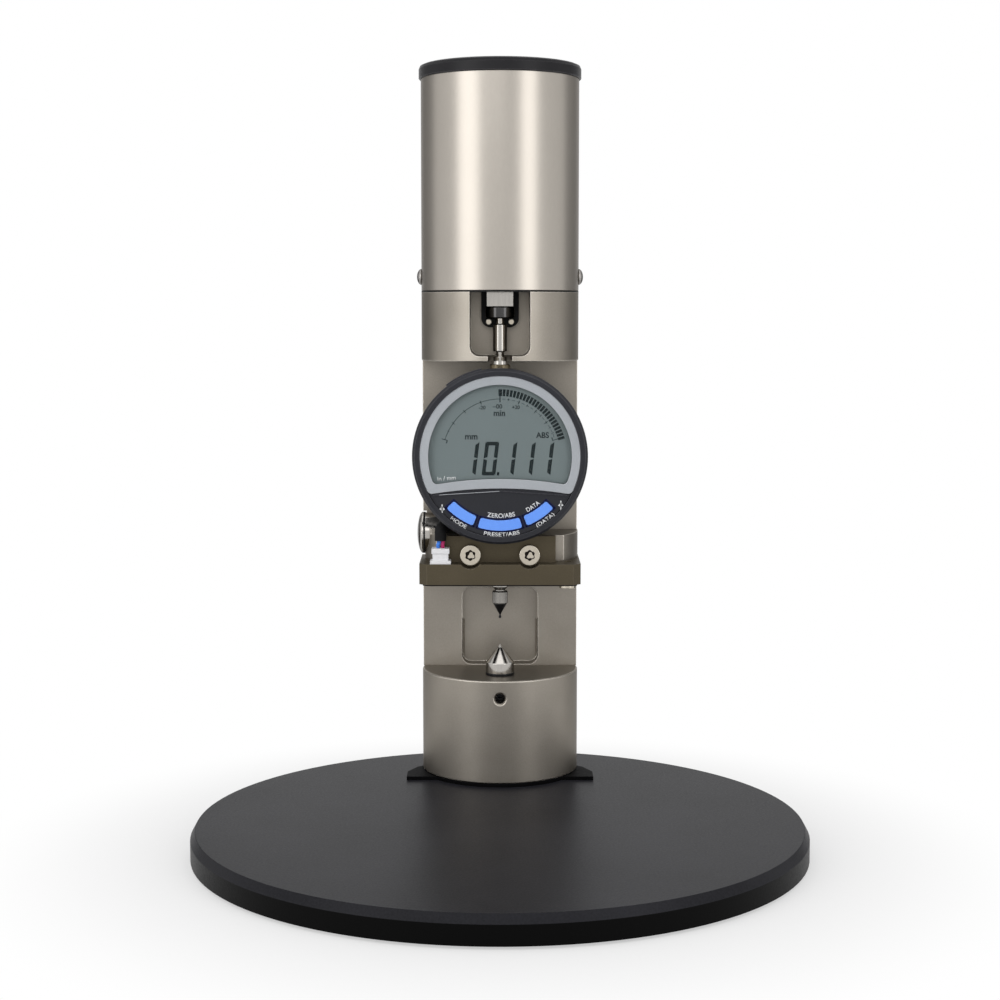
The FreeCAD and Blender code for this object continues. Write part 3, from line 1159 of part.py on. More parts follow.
# Everything that rises and falls with the spindle.
def make_spindle():
    spindle = turned("spindle", [
        ("0", "0"),
        ("spindle_neck", "0"),
        ("spindle_neck", "spindle_neck_high"),
        ("collar_radius", "spindle_neck_high + collar_flare"),
        ("collar_radius", "spindle_neck_high + collar_flare + collar_high"),
        ("spindle_radius", "spindle_neck_high + collar_flare + collar_high"),
        ("spindle_radius", f"{SPINDLE_TOP} - {SPINDLE_LOW}"),
        ("0", f"{SPINDLE_TOP} - {SPINDLE_LOW}"),
    ], ("0", SPINDLE_Y, SPINDLE_LOW))
    node(spindle, "spindle")
    holder = turned("contact_body", [
        ("0", "0"),
        ("contact_radius - 0.3", "0"),
        ("contact_radius", "0.3"),
        ("contact_radius", "contact_high - 0.5"),
        ("contact_radius - 0.5", "contact_high"),
        ("0", "contact_high"),
    ], ("0", SPINDLE_Y, HOLDER_CONTACT))
    node(holder, "contact_body")
    tip = turned("contact_tip", [
        ("0", "0"),
        ("contact_point_radius * 0.6", "0"),
        ("contact_point_radius", "0.25"),
        ("contact_point_radius", "0.75"),
        ("contact_point_radius * 0.55", "1.0"),
        ("contact_point_radius * 0.7", "contact_point"),
        ("contact_radius - 0.35", "contact_point + contact_cone"),
        ("0", "contact_point + contact_cone"),
    ], ("0", SPINDLE_Y, CONTACT_LOW))
    node(tip, "contact_tip")
    lower = f"({ROD_LOW} - {SPINDLE_TOP})"
    upper = f"({lower} + rod_thick_long)"
    neck = f"({upper} + rod_upper_neck)"
    lift = turned("lift_rod", [
        ("0", "0"),
        ("rod_cap_radius", "0"),
        ("rod_cap_radius", "spindle_top + rod_cap_high"),
        ("rod_neck_radius", "spindle_top + rod_cap_high"),
        ("rod_neck_radius", lower),
        ("rod_radius", lower + " + 0.3"),
        ("rod_radius", upper + " - 0.3"),
        ("rod_neck_radius", upper),
        ("rod_neck_radius", neck),
        ("rod_thread_radius", neck),
        ("rod_thread_radius", neck + " + rod_thread_long"),
        ("0", neck + " + rod_thread_long"),
    ], ("0", SPINDLE_Y, SPINDLE_TOP))
    node(lift, "lift_rod")
    nut = turned("lift_nut", [
        ("rod_thread_radius + slip", "0"),
        ("nut_radius - edge_break", "0"),
        ("nut_radius", "edge_break"),
        ("nut_radius", "nut_high - edge_break"),
        ("nut_radius - edge_break", "nut_high"),
        ("rod_thread_radius + slip", "nut_high"),
    ], ("0", SPINDLE_Y, NUT_LOW))
    node(nut, "lift_nut")
    half = "block_side / 2"
    blank = box("block_blank", (f"-{half}", f"{SPINDLE_Y} - {half}", BLOCK_LOW),
                ("block_side", "block_side", "block_high"))
    tools = [
        rod("block_thread", ("0", SPINDLE_Y, BLOCK_LOW), "rod_thread_radius + slip",
            "rod_thread_long - nut_high + 0.3"),
        rod("block_bore", ("0", SPINDLE_Y, f"{BLOCK_LOW} + block_web"), "screw_radius + run",
            "block_high - block_web"),
    ]
    node(cut("lift_block", blank, tools), "lift_block")
    clamp = box("carrier_clamp",
                ("-carrier_half", f"{SPINDLE_Y} - carrier_half", f"{DIAL_Z} - carrier_high / 2"),
                ("2 * carrier_half", "2 * carrier_half", "carrier_high"))
    strip = box("carrier_strip",
                ("carrier_half", f"{SPINDLE_Y} - carrier_half", f"{DIAL_Z} - scale_high / 2"),
                ("scale_thick", "2 * carrier_half", "scale_high"))
    hole = rod("carrier_hole", ("0", SPINDLE_Y, f"{DIAL_Z} - carrier_high"), "spindle_radius + slip",
               "2 * carrier_high")
    node(cut("scale_carrier", joined("carrier_blank", [clamp, strip]), [hole]), "scale_carrier")
    board = box("detector_board",
                ("detector_aside", f"{SPINDLE_Y} - case_front + case_face",
                 f"{DIAL_Z} - detector_high / 2"),
                ("detector_thick", "case_front - case_face + carrier_half", "detector_high"))
    node(board, "detector_board")


# Lift drive above the head ring and its cover.
def make_drive():
    journal = f"({MOTOR_LOW} + shaft_sunk - {SCREW_LOW})"
    screw = turned("lead_screw", [
        ("0", "0"),
        ("screw_radius - 0.5", "0"),
        ("screw_radius", "0.5"),
        ("screw_radius", "screw_long"),
        ("shaft_radius", "screw_long"),
        ("shaft_radius", journal),
        ("0", journal),
    ], ("0", SPINDLE_Y, SCREW_LOW))
    node(screw, "lead_screw")
    motor = turned("gear_motor", [
        ("shaft_radius + run", "0"),
        ("motor_radius", "0"),
        ("motor_radius", "gearbox_high"),
        ("motor_can", "gearbox_high"),
        ("motor_can", "motor_high - 1"),
        ("motor_can - 1", "motor_high"),
        ("0", "motor_high"),
        ("0", "shaft_sunk + 0.5"),
        ("shaft_radius + run", "shaft_sunk + 0.5"),
    ], ("0", SPINDLE_Y, MOTOR_LOW))
    node(motor, "gear_motor")
    posts, plate_tools = [], []
    for number, (right, forward) in enumerate([("", 1), ("-", 1), ("", 0), ("-", 0)]):
        y = f"{COLUMN_Y} - post_front" if forward else f"{COLUMN_Y} + post_behind"
        place = (right + "post_aside", y)
        shaft = rod(f"post_shaft_{number}", place + (HEAD_TOP,), "post_radius", "post_high")
        spigot = rod(f"post_spigot_{number}", place + (MOTOR_PLATE,), "post_spigot", "motor_plate_thick")
        rivet = cone(f"post_rivet_{number}", place + (MOTOR_LOW,), "post_radius", "post_spigot", "0.8")
        posts.append(joined(f"post_{number}", [shaft, spigot, rivet]))
        plate_tools.append(rod(f"plate_hole_{number}", place + (MOTOR_PLATE,), "post_spigot + slip",
                               "motor_plate_thick"))
    node(group("motor_posts", posts), "motor_posts")
    disc = rod("motor_plate_blank", ("0", COLUMN_Y, MOTOR_PLATE), "motor_plate_radius",
               "motor_plate_thick")
    plate_tools.append(rod("motor_plate_bore", ("0", SPINDLE_Y, MOTOR_PLATE), "screw_radius + 0.5",
                           "motor_plate_thick"))
    node(cut("motor_plate", disc, plate_tools), "motor_plate")


def make_guide():
    thick = f"({GUIDE_BACK} - {GUIDE_FACE})"
    low = f"({HEAD_LOW} + guide_low)"
    bar = box("guide_bar", ("-guide_half", GUIDE_FACE, low), ("2 * guide_half", thick, "guide_long"))
    blank = rounded("guide_blank", bar, "guide_corner", Vector(0, 1, 0), keep_low_half(bar))
    tools, pins = [], []
    for side, sign in (("left", "-"), ("right", "")):
        place = (sign + "guide_pin_aside", GUIDE_FACE, pin_height())
        tools.append(rod(f"guide_hole_{side}", place, "guide_pin_radius + slip", thick, "Y"))
        start = (sign + "guide_pin_aside", f"{GUIDE_FACE} - guide_pin_proud", pin_height())
        pins.append(rod(f"guide_pin_{side}", start, "guide_pin_radius",
                        f"{thick} + guide_pin_proud + 3.8", "Y"))
    node(cut("guide_plate", blank, tools), "guide_plate")
    node(group("guide_pins", pins), "guide_pins")


def make_electronics():
    board_y = f"({COLUMN_Y} + post_behind + post_radius)"
    low = f"({HEAD_TOP} + board_up)"
    board = box("board_blank", ("-board_half", board_y, low),
                ("2 * board_half", "board_thick", "board_high"))
    chips = [
        box("chip_large", ("-6", f"{board_y} + board_thick", f"{low} + 4"), ("12", "1.4", "12")),
        box("chip_small", ("8", f"{board_y} + board_thick", f"{low} + 8"), ("5", "1.2", "7")),
        box("board_plug", ("-14", f"{board_y} + board_thick", f"{low} + 20"), ("9", "5", "5")),
        rod("board_capacitor", ("9", f"{board_y} + board_thick", f"{low} + 24"), "3", "5.5", "Y"),
    ]
    node(joined("control_board", [board] + chips), "control_board")
    switches = []
    for name, up in (("lower", "switch_low_up"), ("upper", "switch_high_up")):
        body = box(f"switch_{name}_body",
                   ("-post_aside + post_radius", f"{COLUMN_Y} - post_front - switch_wide / 2",
                    f"{HEAD_TOP} + {up}"),
                   ("switch_wide", "switch_wide", "switch_high"))
        key = box(f"switch_{name}_key", ("-post_aside + post_radius + switch_wide",
                                         f"{COLUMN_Y} - post_front - 1",
                                         f"{HEAD_TOP} + {up} + 2"), ("0.8", "2", "2"))
        switches.append(joined(f"switch_{name}", [body, key]))
    node(group("limit_switches", switches), "limit_switches")


def make_cover():
    inner = "column_radius - cover_wall"
    tube = turned("cover_blank", [
        (inner, "0"),
        ("column_radius - seam_bevel", "0"),
        ("column_radius", "seam_bevel"),
        ("column_radius", "cover_high"),
        (inner, "cover_high"),
    ], ("0", COLUMN_Y, HEAD_TOP))
    tools, screws = [], []
    for side, sign in (("left", "-"), ("right", "")):
        along = "-X" if sign else "X"
        inward = "X" if sign else "-X"
        place = (sign + "column_radius", COLUMN_Y, f"{HEAD_TOP} + button_up")
        tools.append(rod(f"cover_side_hole_{side}", place, "button_shank + slip", "cover_wall + 1",
                         inward))
        screws.append(headed_screw(f"cover_screw_{side}", place, along, "button_head_radius",
                                   "button_head_high",
                                   "button_shank", "button_grip"))
    node(cut("top_cover", tube, tools), "top_cover")
    node(group("cover_screws", screws), "cover_screws")
    cap = turned("top_cap", [
        ("0", "0"),
        ("0", "cap_thick"),
        ("cap_radius - cap_round", "cap_thick"),
        ("cap_radius - cap_round * 0.29", "cap_thick - cap_round * 0.29"),
        ("cap_radius", "cap_thick - cap_round"),
        ("cap_radius", "0.3"),
        ("cap_radius - 0.3", "0"),
        (f"{inner} - slip", "0"),
        (f"{inner} - slip", "-4"),
        (f"{inner} - slip - 1.2", "-4"),
        (f"{inner} - slip - 1.2", "0"),
    ], ("0", COLUMN_Y, COVER_TOP))
    node(cap, "top_cap")


make_base()
make_foot_plate()
make_column_foot()
make_power_socket()
make_anvil()
make_backbone()
make_head()
make_holder()
make_start_button()
make_bracket()
make_lamp()
make_connector()
make_sleeve()
make_case()
make_display()
make_spindle()
make_drive()
make_guide()
make_electronics()
make_cover()
doc.recompute()

for item in doc.Objects:
    if "Invalid" in item.State or "Error" in item.State:
        raise RuntimeError(f"{item.Name} failed: {item.State}")
for item in finished:
    if item.Shape.isNull() or not item.Shape.isValid() or not item.Shape.Solids:
        raise RuntimeError(f"{item.Label} has no valid solid")

os.makedirs("parts", exist_ok=True)
for item in finished:
    item.Shape.exportStep(f"parts/{item.Label}.step")
print(len(finished), "sub-parts written")
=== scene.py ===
import math

import bmesh
import bpy
from mathutils import Matrix, Vector


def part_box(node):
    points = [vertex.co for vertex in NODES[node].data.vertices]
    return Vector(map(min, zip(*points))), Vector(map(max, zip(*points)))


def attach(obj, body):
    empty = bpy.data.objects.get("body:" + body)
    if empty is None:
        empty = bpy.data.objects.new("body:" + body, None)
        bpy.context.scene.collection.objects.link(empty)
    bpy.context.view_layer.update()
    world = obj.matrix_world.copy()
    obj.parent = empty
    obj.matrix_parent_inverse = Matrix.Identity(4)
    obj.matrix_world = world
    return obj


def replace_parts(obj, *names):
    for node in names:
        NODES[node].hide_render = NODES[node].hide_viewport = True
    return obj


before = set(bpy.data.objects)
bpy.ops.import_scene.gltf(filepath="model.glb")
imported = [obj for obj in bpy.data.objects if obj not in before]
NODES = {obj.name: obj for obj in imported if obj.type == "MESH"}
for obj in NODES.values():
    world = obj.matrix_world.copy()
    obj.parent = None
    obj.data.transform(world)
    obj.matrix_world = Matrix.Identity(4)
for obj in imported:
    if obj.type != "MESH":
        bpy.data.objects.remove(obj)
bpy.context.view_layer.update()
MM = 0.001

# Middle of the dial, taken from the round display board, and two of its faces.
board_low, board_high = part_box("display_board")
DIAL_X = (board_low[0] + board_high[0]) / 2
DIAL_Z = (board_low[2] + board_high[2]) / 2
PANEL_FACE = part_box("face_panel")[0][1]
CELL_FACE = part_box("lcd_panel")[0][1]

# Materials: the range in which noise mostly lies, the share that two normals have in common on a
# flat face and on a full edge, and the upward part of the normal of a steep face and a level one.
NOISE_RANGE = (0.3, 0.7)
FLAT_TO_EDGE = (0.995, 0.9)
STEEP_TO_LEVEL = (0.2, 0.4)
# Reach of the painted highlight along sharp edges.
HIGHLIGHT_REACH = 0.00035
EDGE_SAMPLES = 6
GRAIN_DETAIL, PATCH_DETAIL = 4.0, 2.0
GLASS_COVER = 0.05

# Places of the factor and the two colours on a colour mix, and of its colour result.
FACTOR, FIRST, SECOND, MIXED = 0, 6, 7, 2


def colour(red, green, blue):
    """A colour as it looks on screen, 0 to 255."""
    def linear(value):
        share = value / 255
        return share / 12.92 if share <= 0.04045 else ((share + 0.055) / 1.055) ** 2.4
    return (linear(red), linear(green), linear(blue), 1.0)


def new_material(name):
    made = bpy.data.materials.new(name)
    made.use_nodes = True
    return made, made.node_tree


def add(tree, kind, **inputs):
    node = tree.nodes.new(kind)
    for name, value in inputs.items():
        node.inputs[name.replace("_", " ")].default_value = value
    return node


def noise(tree, scale, detail, stretch=(1, 1, 1)):
    """Noise over the object's own coordinates, stretched by a scale for each axis."""
    source = tree.nodes.new("ShaderNodeTexCoord")
    mapping = add(tree, "ShaderNodeMapping", Scale=stretch)
    texture = add(tree, "ShaderNodeTexNoise", Scale=scale, Detail=detail, Roughness=0.55)
    tree.links.new(source.outputs["Object"], mapping.inputs["Vector"])
    tree.links.new(mapping.outputs["Vector"], texture.inputs["Vector"])
    return texture.outputs["Fac"]


def ranged(tree, value, given, wanted=(0.0, 1.0), smooth=False):
    """Map a value from one range to another."""
    node = add(tree, "ShaderNodeMapRange", From_Min=given[0], From_Max=given[1],
               To_Min=wanted[0], To_Max=wanted[1])
    if smooth:
        node.interpolation_type = "SMOOTHSTEP"
    tree.links.new(value, node.inputs["Value"])
    return node.outputs["Result"]


def computed(tree, operation, *values):
    """A math node whose inputs are numbers or outputs of other nodes."""
    node = tree.nodes.new("ShaderNodeMath")
    node.operation = operation
    for place, value in enumerate(values):
        if isinstance(value, float):
            node.inputs[place].default_value = value
        else:
            tree.links.new(value, node.inputs[place])
    return node.outputs["Value"]


def colour_mix(tree, value, first, second):
    """Mix two colours, each a fixed colour or an output of another node."""
    mix = tree.nodes.new("ShaderNodeMix")
    mix.data_type = "RGBA"
    tree.links.new(value, mix.inputs[FACTOR])
    for place, given in ((FIRST, first), (SECOND, second)):
        if isinstance(given, tuple):
            mix.inputs[place].default_value = given
        else:
            tree.links.new(given, mix.inputs[place])
    return mix.outputs[MIXED]


def bumped(tree, value, strength, distance, edge_radius):
    """A fine bump on a normal that is rounded along the edges."""
    bump = add(tree, "ShaderNodeBump", Strength=strength, Distance=distance)
    tree.links.new(value, bump.inputs["Height"])
    if edge_radius:
        bevel = add(tree, "ShaderNodeBevel", Radius=edge_radius)
        bevel.samples = EDGE_SAMPLES
        tree.links.new(bevel.outputs["Normal"], bump.inputs["Normal"])
    return bump.outputs["Normal"]


def painted_edge_highlight(tree, base, edge, amount):
    """The base colour with a painted highlight: a lighter colour along sharp edges."""
    bevel = add(tree, "ShaderNodeBevel", Radius=HIGHLIGHT_REACH)
    geometry = tree.nodes.new("ShaderNodeNewGeometry")
    dot = tree.nodes.new("ShaderNodeVectorMath")
    dot.operation = "DOT_PRODUCT"
    tree.links.new(bevel.outputs["Normal"], dot.inputs[0])
    tree.links.new(geometry.outputs["Normal"], dot.inputs[1])
    sharp = ranged(tree, dot.outputs["Value"], FLAT_TO_EDGE, (0.0, amount))
    return colour_mix(tree, sharp, base, edge)


def height_of(tree, output):
    """The upright part of the surface's position or true normal."""
    geometry = tree.nodes.new("ShaderNodeNewGeometry")
    parts = tree.nodes.new("ShaderNodeSeparateXYZ")
    tree.links.new(geometry.outputs[output], parts.inputs["Vector"])
    return parts.outputs["Z"]


def material(name, dark, light, metallic=0.0, rough=(0.4, 0.5), grain=(900, (1, 1, 1)),
             bump=(0.1, 0.00002), patch=60, edge=None, edge_amount=0.6, edge_radius=0.0003,
             specular=0.5, tint=1.0, side=None):
    """A finish with colour patches, fine grain in roughness and bump, and a painted highlight in the
    colour edge along sharp edges.

    side is a darker colour painted on upright faces as painted shade, where it is given.
    """
    made, tree = new_material(name)
    shader = tree.nodes["Principled BSDF"]
    shader.inputs["Metallic"].default_value = metallic
    shader.inputs["Specular IOR Level"].default_value = specular
    shader.inputs["Specular Tint"].default_value = (tint, tint, tint, 1.0)
    scale, stretch = grain
    fine = noise(tree, scale, GRAIN_DETAIL, stretch)
    wide = noise(tree, patch, PATCH_DETAIL)
    both = computed(tree, "MULTIPLY_ADD", fine, 0.5, computed(tree, "MULTIPLY", wide, 0.5))
    base = colour_mix(tree, ranged(tree, both, NOISE_RANGE), dark, light)
    # Painted shade: upright faces take the darker side colour.
    if side:
        level = ranged(tree, height_of(tree, "True Normal"), STEEP_TO_LEVEL)
        base = colour_mix(tree, level, side, base)
    # Painted highlight: the edge colour along sharp edges.
    if edge:
        base = painted_edge_highlight(tree, base, edge, edge_amount)
    tree.links.new(base, shader.inputs["Base Color"])
    tree.links.new(ranged(tree, fine, NOISE_RANGE, rough), shader.inputs["Roughness"])
    tree.links.new(bumped(tree, fine, *bump, edge_radius), shader.inputs["Normal"])
    return made


def glass_material():
    made = material("display_glass_clear", colour(90, 96, 96), colour(96, 102, 102),
                    rough=(0.03, 0.06), bump=(0.02, 0.000005), edge_radius=0)
    made.node_tree.nodes["Principled BSDF"].inputs["Alpha"].default_value = GLASS_COVER
    return made


# Where a finish gives an edge colour, it is the colour of its painted highlight along sharp edges.
NICKEL = material("blasted_nickel", colour(138, 132, 123), colour(158, 152, 143), 1.0,
                  (0.36, 0.46), (2600, (1, 1, 1)), (0.22, 0.00003), 45, colour(232, 226, 215),
                  0.95, 0.0005, tint=0.55)
TUBE = material("brushed_tube", colour(168, 162, 154), colour(173, 167, 159), 1.0,
                (0.3, 0.32), (1400, (1, 1, 0.3)), (0.01, 0.00001), 40, edge_radius=0, tint=0.5)
# The upright faces of the textured black coat are painted almost black as painted shade.
BLACK_COAT = material("textured_black_coat", colour(26, 26, 29), colour(40, 40, 44), 0.0,
                      (0.34, 0.44), (1500, (1, 1, 1)), (0.5, 0.00006), 30, colour(46, 46, 50),
                      0.3, specular=0.06, side=colour(2, 2, 2))
RIM_BLACK = material("smooth_black_coat", colour(6, 6, 7), colour(11, 11, 12), 0.0,
                     (0.55, 0.65), (1200, (1, 1, 1)), (0.15, 0.00003), 40, specular=0.03)
BRONZE_DARK = material("bronze_anodised", colour(76, 69, 55), colour(90, 82, 67), 0.55,
                       (0.38, 0.48), (2400, (1, 1, 1)), (0.15, 0.00002), 50,
                       colour(112, 104, 90), 0.5, tint=0.6, specular=0.2)
CAP_BLACK = material("cap_satin_black", colour(17, 16, 19), colour(25, 24, 27), 0.0,
                     (0.35, 0.45), (1800, (1, 1, 1)), (0.2, 0.00003), 50, colour(100, 99, 101),
                     0.6, specular=0.2)
CASE_PLASTIC = material("case_plastic", colour(34, 35, 40), colour(43, 44, 49), 0.0,
                        (0.32, 0.42), (2200, (1, 1, 1)), (0.12, 0.00002), 60,
                        colour(92, 91, 98), 0.6, specular=0.2)
BLACK_PLASTIC = material("black_plastic", colour(14, 14, 15), colour(24, 24, 26), 0.0,
                         (0.4, 0.55), (2000, (1, 1, 1)), (0.2, 0.00003), 60, specular=0.15)
SILVER = material("silver_paint", colour(157, 161, 166), colour(171, 175, 180), 0.25,
                  (0.34, 0.42), (3000, (1, 1, 1)), (0.06, 0.00001), 40, colour(205, 208, 212),
                  0.5, specular=0.25)
BLUE = material("blue_key_plastic", colour(102, 153, 251), colour(114, 165, 255), 0.0,
                (0.3, 0.38), (2600, (1, 1, 1)), (0.05, 0.00001), 80, colour(140, 178, 255),
                0.5, specular=0.25)
WHITE = material("white_connector_plastic", colour(226, 226, 229), colour(238, 238, 240), 0.0,
                 (0.35, 0.45), (1800, (1, 1, 1)), (0.08, 0.00002), 90, specular=0.25)
CELL = material("display_cell", colour(114, 125, 126), colour(119, 130, 131), 0.0,
                (0.5, 0.56), (1800, (1, 1, 1)), (0.02, 0.00001), 30, specular=0.1)
INK = material("display_segments", colour(26, 34, 36), colour(32, 40, 42), 0.0,
               (0.5, 0.6), specular=0.1, edge_radius=0)
WHITE_INK = material("white_print", colour(216, 218, 219), colour(230, 231, 232), 0.0,
                     (0.5, 0.6), specular=0.2, edge_radius=0)
NAVY = material("navy_key_gap", colour(7, 10, 50), colour(10, 14, 60), 0.0,
                (0.4, 0.5), specular=0.15, edge_radius=0)
POLISHED = material("polished_steel", colour(160, 157, 152), colour(182, 178, 173), 1.0,
                    (0.08, 0.18), (1400, (1, 1, 0.06)), (0.05, 0.00001), 90,
                    colour(235, 232, 228), 0.4, tint=0.4)
KNURLED = material("knurled_steel", colour(110, 108, 105), colour(150, 147, 142), 1.0,
                   (0.1, 0.18), (1200, (1, 1, 0.05)), (0.04, 0.00001), 90, tint=0.4)
BLACK_CHROME = material("black_chrome", colour(62, 61, 61), colour(78, 77, 77), 1.0,
                        (0.06, 0.12), (1200, (1, 1, 0.05)), (0.03, 0.00001), 90, tint=0.4)
SCREW = material("warm_nickel_plate", colour(178, 170, 156), colour(198, 190, 176), 1.0,
                 (0.14, 0.26), (1500, (1, 1, 1)), (0.08, 0.00002), 120, colour(238, 232, 220),
                 0.4, tint=0.5)
DOMED = material("grey_dome_plate", colour(146, 143, 140), colour(166, 163, 160), 1.0,
                 (0.16, 0.26), (1500, (1, 1, 1)), (0.05, 0.00002), 120, edge_radius=0.0004,
                 tint=0.5)
DARK_STEEL = material("blackened_steel", colour(22, 22, 24), colour(36, 36, 38), 0.7,
                      (0.25, 0.4), (1500, (1, 1, 1)), (0.15, 0.00002), 80, colour(80, 80, 82),
                      0.5, specular=0.3)
BUSH = material("bush_bronze", colour(92, 84, 68), colour(116, 106, 88), 1.0,
                (0.25, 0.38), (1500, (1, 1, 1)), (0.2, 0.00003), 80, tint=0.4)
RUBBER = material("black_rubber", colour(16, 16, 17), colour(26, 26, 27), 0.0,
                  (0.6, 0.75), (1800, (1, 1, 1)), (0.25, 0.00003), 70, specular=0.15)
BOARD = material("board_green", colour(20, 84, 52), colour(30, 100, 62), 0.0,
                 (0.35, 0.5), (1200, (1, 1, 1)), (0.1, 0.00002), 90)
WIRE_BLUE = material("wire_blue", colour(56, 122, 226), colour(70, 140, 238), 0.0,
                     (0.35, 0.5), specular=0.25)
WIRE_PINK = material("wire_pink", colour(170, 34, 94), colour(192, 46, 112), 0.0,
                     (0.35, 0.5), specular=0.25)
MOTOR = material("motor_zinc", colour(150, 148, 142), colour(176, 174, 168), 1.0, (0.3, 0.45))
# A dark finish for painted shade in the screw recesses.
RECESS_SHADE_PAINT = material("painted_recess_shade", colour(20, 17, 13), colour(30, 26, 20), 0.3,
                    (0.4, 0.6), specular=0.1)

FINISHES = {
    "base_plate": BLACK_COAT, "foot_plate": RIM_BLACK, "rubber_feet": RUBBER,
    "base_screws": SCREW, "column_foot": NICKEL, "column_backbone": NICKEL,
    "column_head": NICKEL, "stem_holder": NICKEL, "head_screws": SCREW,
    "lower_anvil": POLISHED, "anvil_ring": DARK_STEEL, "set_screws": DARK_STEEL,
    "power_socket": BLACK_PLASTIC, "holder_screws": SCREW, "start_housing": POLISHED,
    "start_seal": RUBBER, "start_bezel": POLISHED, "start_cap": POLISHED,
    "lamp_bracket": BRONZE_DARK, "bracket_screws": SCREW, "lamp_screws": SCREW,
    "lamp_cover": BLACK_PLASTIC, "lamp_board": BOARD, "connector_socket": WHITE,
    "connector_plug": WHITE, "cable_sleeve": RUBBER, "gauge_case": CASE_PLASTIC,
    "gauge_back": CASE_PLASTIC, "gauge_back_screws": SCREW, "gauge_stem": POLISHED,
    "top_bush": BUSH, "bezel_ring": CASE_PLASTIC, "display_board": BOARD, "lcd_panel": CELL,
    "face_panel": CASE_PLASTIC, "display_frame": SILVER, "mode_button": BLUE,
    "zero_button": BLUE, "data_button": BLUE, "spindle": POLISHED, "contact_body": KNURLED,
    "contact_tip": DARK_STEEL, "lift_rod": POLISHED, "lift_nut": BLACK_CHROME,
    "lift_block": POLISHED, "scale_carrier": SCREW, "detector_board": BOARD,
    "lead_screw": POLISHED, "gear_motor": MOTOR, "motor_posts": POLISHED,
    "motor_plate": MOTOR, "guide_plate": BLACK_PLASTIC, "guide_pins": SCREW,
    "control_board": BOARD, "limit_switches": BLACK_PLASTIC, "top_cover": TUBE,
    "cover_screws": DOMED, "top_cap": CAP_BLACK, "display_glass": glass_material(),
}


def dress(name, finish):
    """Give a node of the frame its finish."""
    item = NODES[name]
    item.data.materials.clear()
    item.data.materials.append(finish)


def linked(name, data, body):
    """A new object in the scene that rides on a body."""
    item = bpy.data.objects.new(name, data)
    bpy.context.scene.collection.objects.link(item)
    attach(item, body)
    return item


def finished(form, name, finish, body):
    """Turn a form into an object with a finish that rides on a body."""
    mesh = bpy.data.meshes.new(name)
    form.to_mesh(mesh)
    form.free()
    mesh.materials.append(finish)
    return linked(name, mesh, body)


def bridged(form, rings, closed=True):
    """Join neighbouring rings of points with four-sided faces."""
    for lower, upper in zip(rings, rings[1:]):
        count = len(lower)
        for step in range(count if closed else count - 1):
            after = (step + 1) % count
            form.faces.new((lower[step], lower[after], upper[after], upper[step]))


# Pieces on the dial are flat shapes with a little thickness. Their places are (right, up) from
# the middle of the dial, in millimetres, and their angles are degrees clockwise from the top.
PRINT_THICK = 0.04

# The reading, in slanted figures of seven strokes: strokes of each figure, and the reading with
# the right side of each figure. The decimal point is given from the foot of the figures.
STROKES = {"0": "abcdef", "1": "bc"}
READING = (("1", -8.3), ("0", -1.6), ("1", 4.55), ("1", 10.8), ("1", 17.05))
DECIMAL_POINT = ((-1.14, 0.0), (-0.3, 0.0), (-0.18, 1.15), (-1.02, 1.15))
DIGIT_LOW, DIGIT_HIGH, DIGIT_WIDE, STROKE, SLANT = -6.45, 5.0, 4.65, 1.25, 0.12
STROKE_GAP, STROKE_NICK, STROKE_CUT = 0.1, 0.4, STROKE * 0.8

# The scale: each arc as inner and outer radius, each tick as inner and outer radius and width.
SCALE_END = 73
THIN_ARC, THIN_STEPS = (19.36, 19.54), 30
DASH_ARC, DASH_STARTS, DASH_SWEEP, DASH_STEPS = (19.38, 19.52), range(2, 72, 5), 3.2, 3
LONG_TICK, LONG_ANGLES = (18.7, 20.0, 0.26), (-54.5, -38.2, -19.6, 19.2, 38.2, 53.5)
SHORT_TICK, SHORT_ANGLES = (19.0, 19.9, 0.18), (-64, 8.5, 28, 45, 60, 66)
END_TICK, END_FOOT, END_FOOT_ASIDE = (18.5, 20.6, 0.24), (18.5, 18.8, 1.1), 1.6
ZERO_TICK = (18.3, 20.4, 0.36)
GRAPH_FIRST, GRAPH_BAR = (20.45, 22.75, 1.25), (20.45, 22.75, 0.9)
GRAPH_FIRST_ANGLE, GRAPH_START, GRAPH_SWEEP, GRAPH_COUNT = 0.3, 3.7, 69.5, 23

# The display cell's front stands this far before the cell.
CELL_LIFT = 0.02

# Buttons as spans in degrees from the bottom of the dial, with the radii of their ring, and the
# lines round them.
KEY_SPANS = (("mode", -46.0, -21.5), ("zero", -17.5, 17.5), ("data", 21.5, 46.0))
KEY_INNER, KEY_OUTER = 21.6, 25.1
KEY_ARCS = ((KEY_INNER - 0.55, KEY_INNER - 0.1), (KEY_OUTER + 0.1, KEY_OUTER + 0.6))
KEY_BAR = (KEY_INNER - 0.4, KEY_OUTER + 0.45, 0.6)
KEY_ARC_PAST, KEY_BAR_ASIDE, KEY_STEPS, KEY_LINE_THICK = 1.2, 0.95, 24, 0.05

# The lower edge of the silver frame, and the lip under it with a painted highlight, a silver line along
# its left half: left and right end, number of steps, lower and upper offset, thickness.
RIDGE_UP, RIDGE_SLOPE = -11.55, 0.062
RIDGE_LIP = (-22.6, 22.6, 24, -0.35, 0.1, 0.35)
RIDGE_GLINT = (-20.5, -0.2, 12, -0.22, -0.02, 0.4)

# Two upright double arrows: their places, and their shaft and head from the middle.
ARROW_PLACES = ((-19.6, -17.8), (20.6, -16.5))
ARROW_SHAPES = (((-0.2, -1.6), (0.2, -1.6), (0.2, 1.6), (-0.2, 1.6)),
                ((-0.95, -0.05), (0.0, -0.5), (0.95, -0.05), (0.0, 1.0)))

# A capital's height as a share of the font's size, and how much its strokes are widened.
CAP_SHARE, STROKE_WIDER = 0.73, 0.02


def dial_point(right, up, face, lift=0.0):
    return Vector((DIAL_X + right * MM, face - lift * MM, DIAL_Z + up * MM))


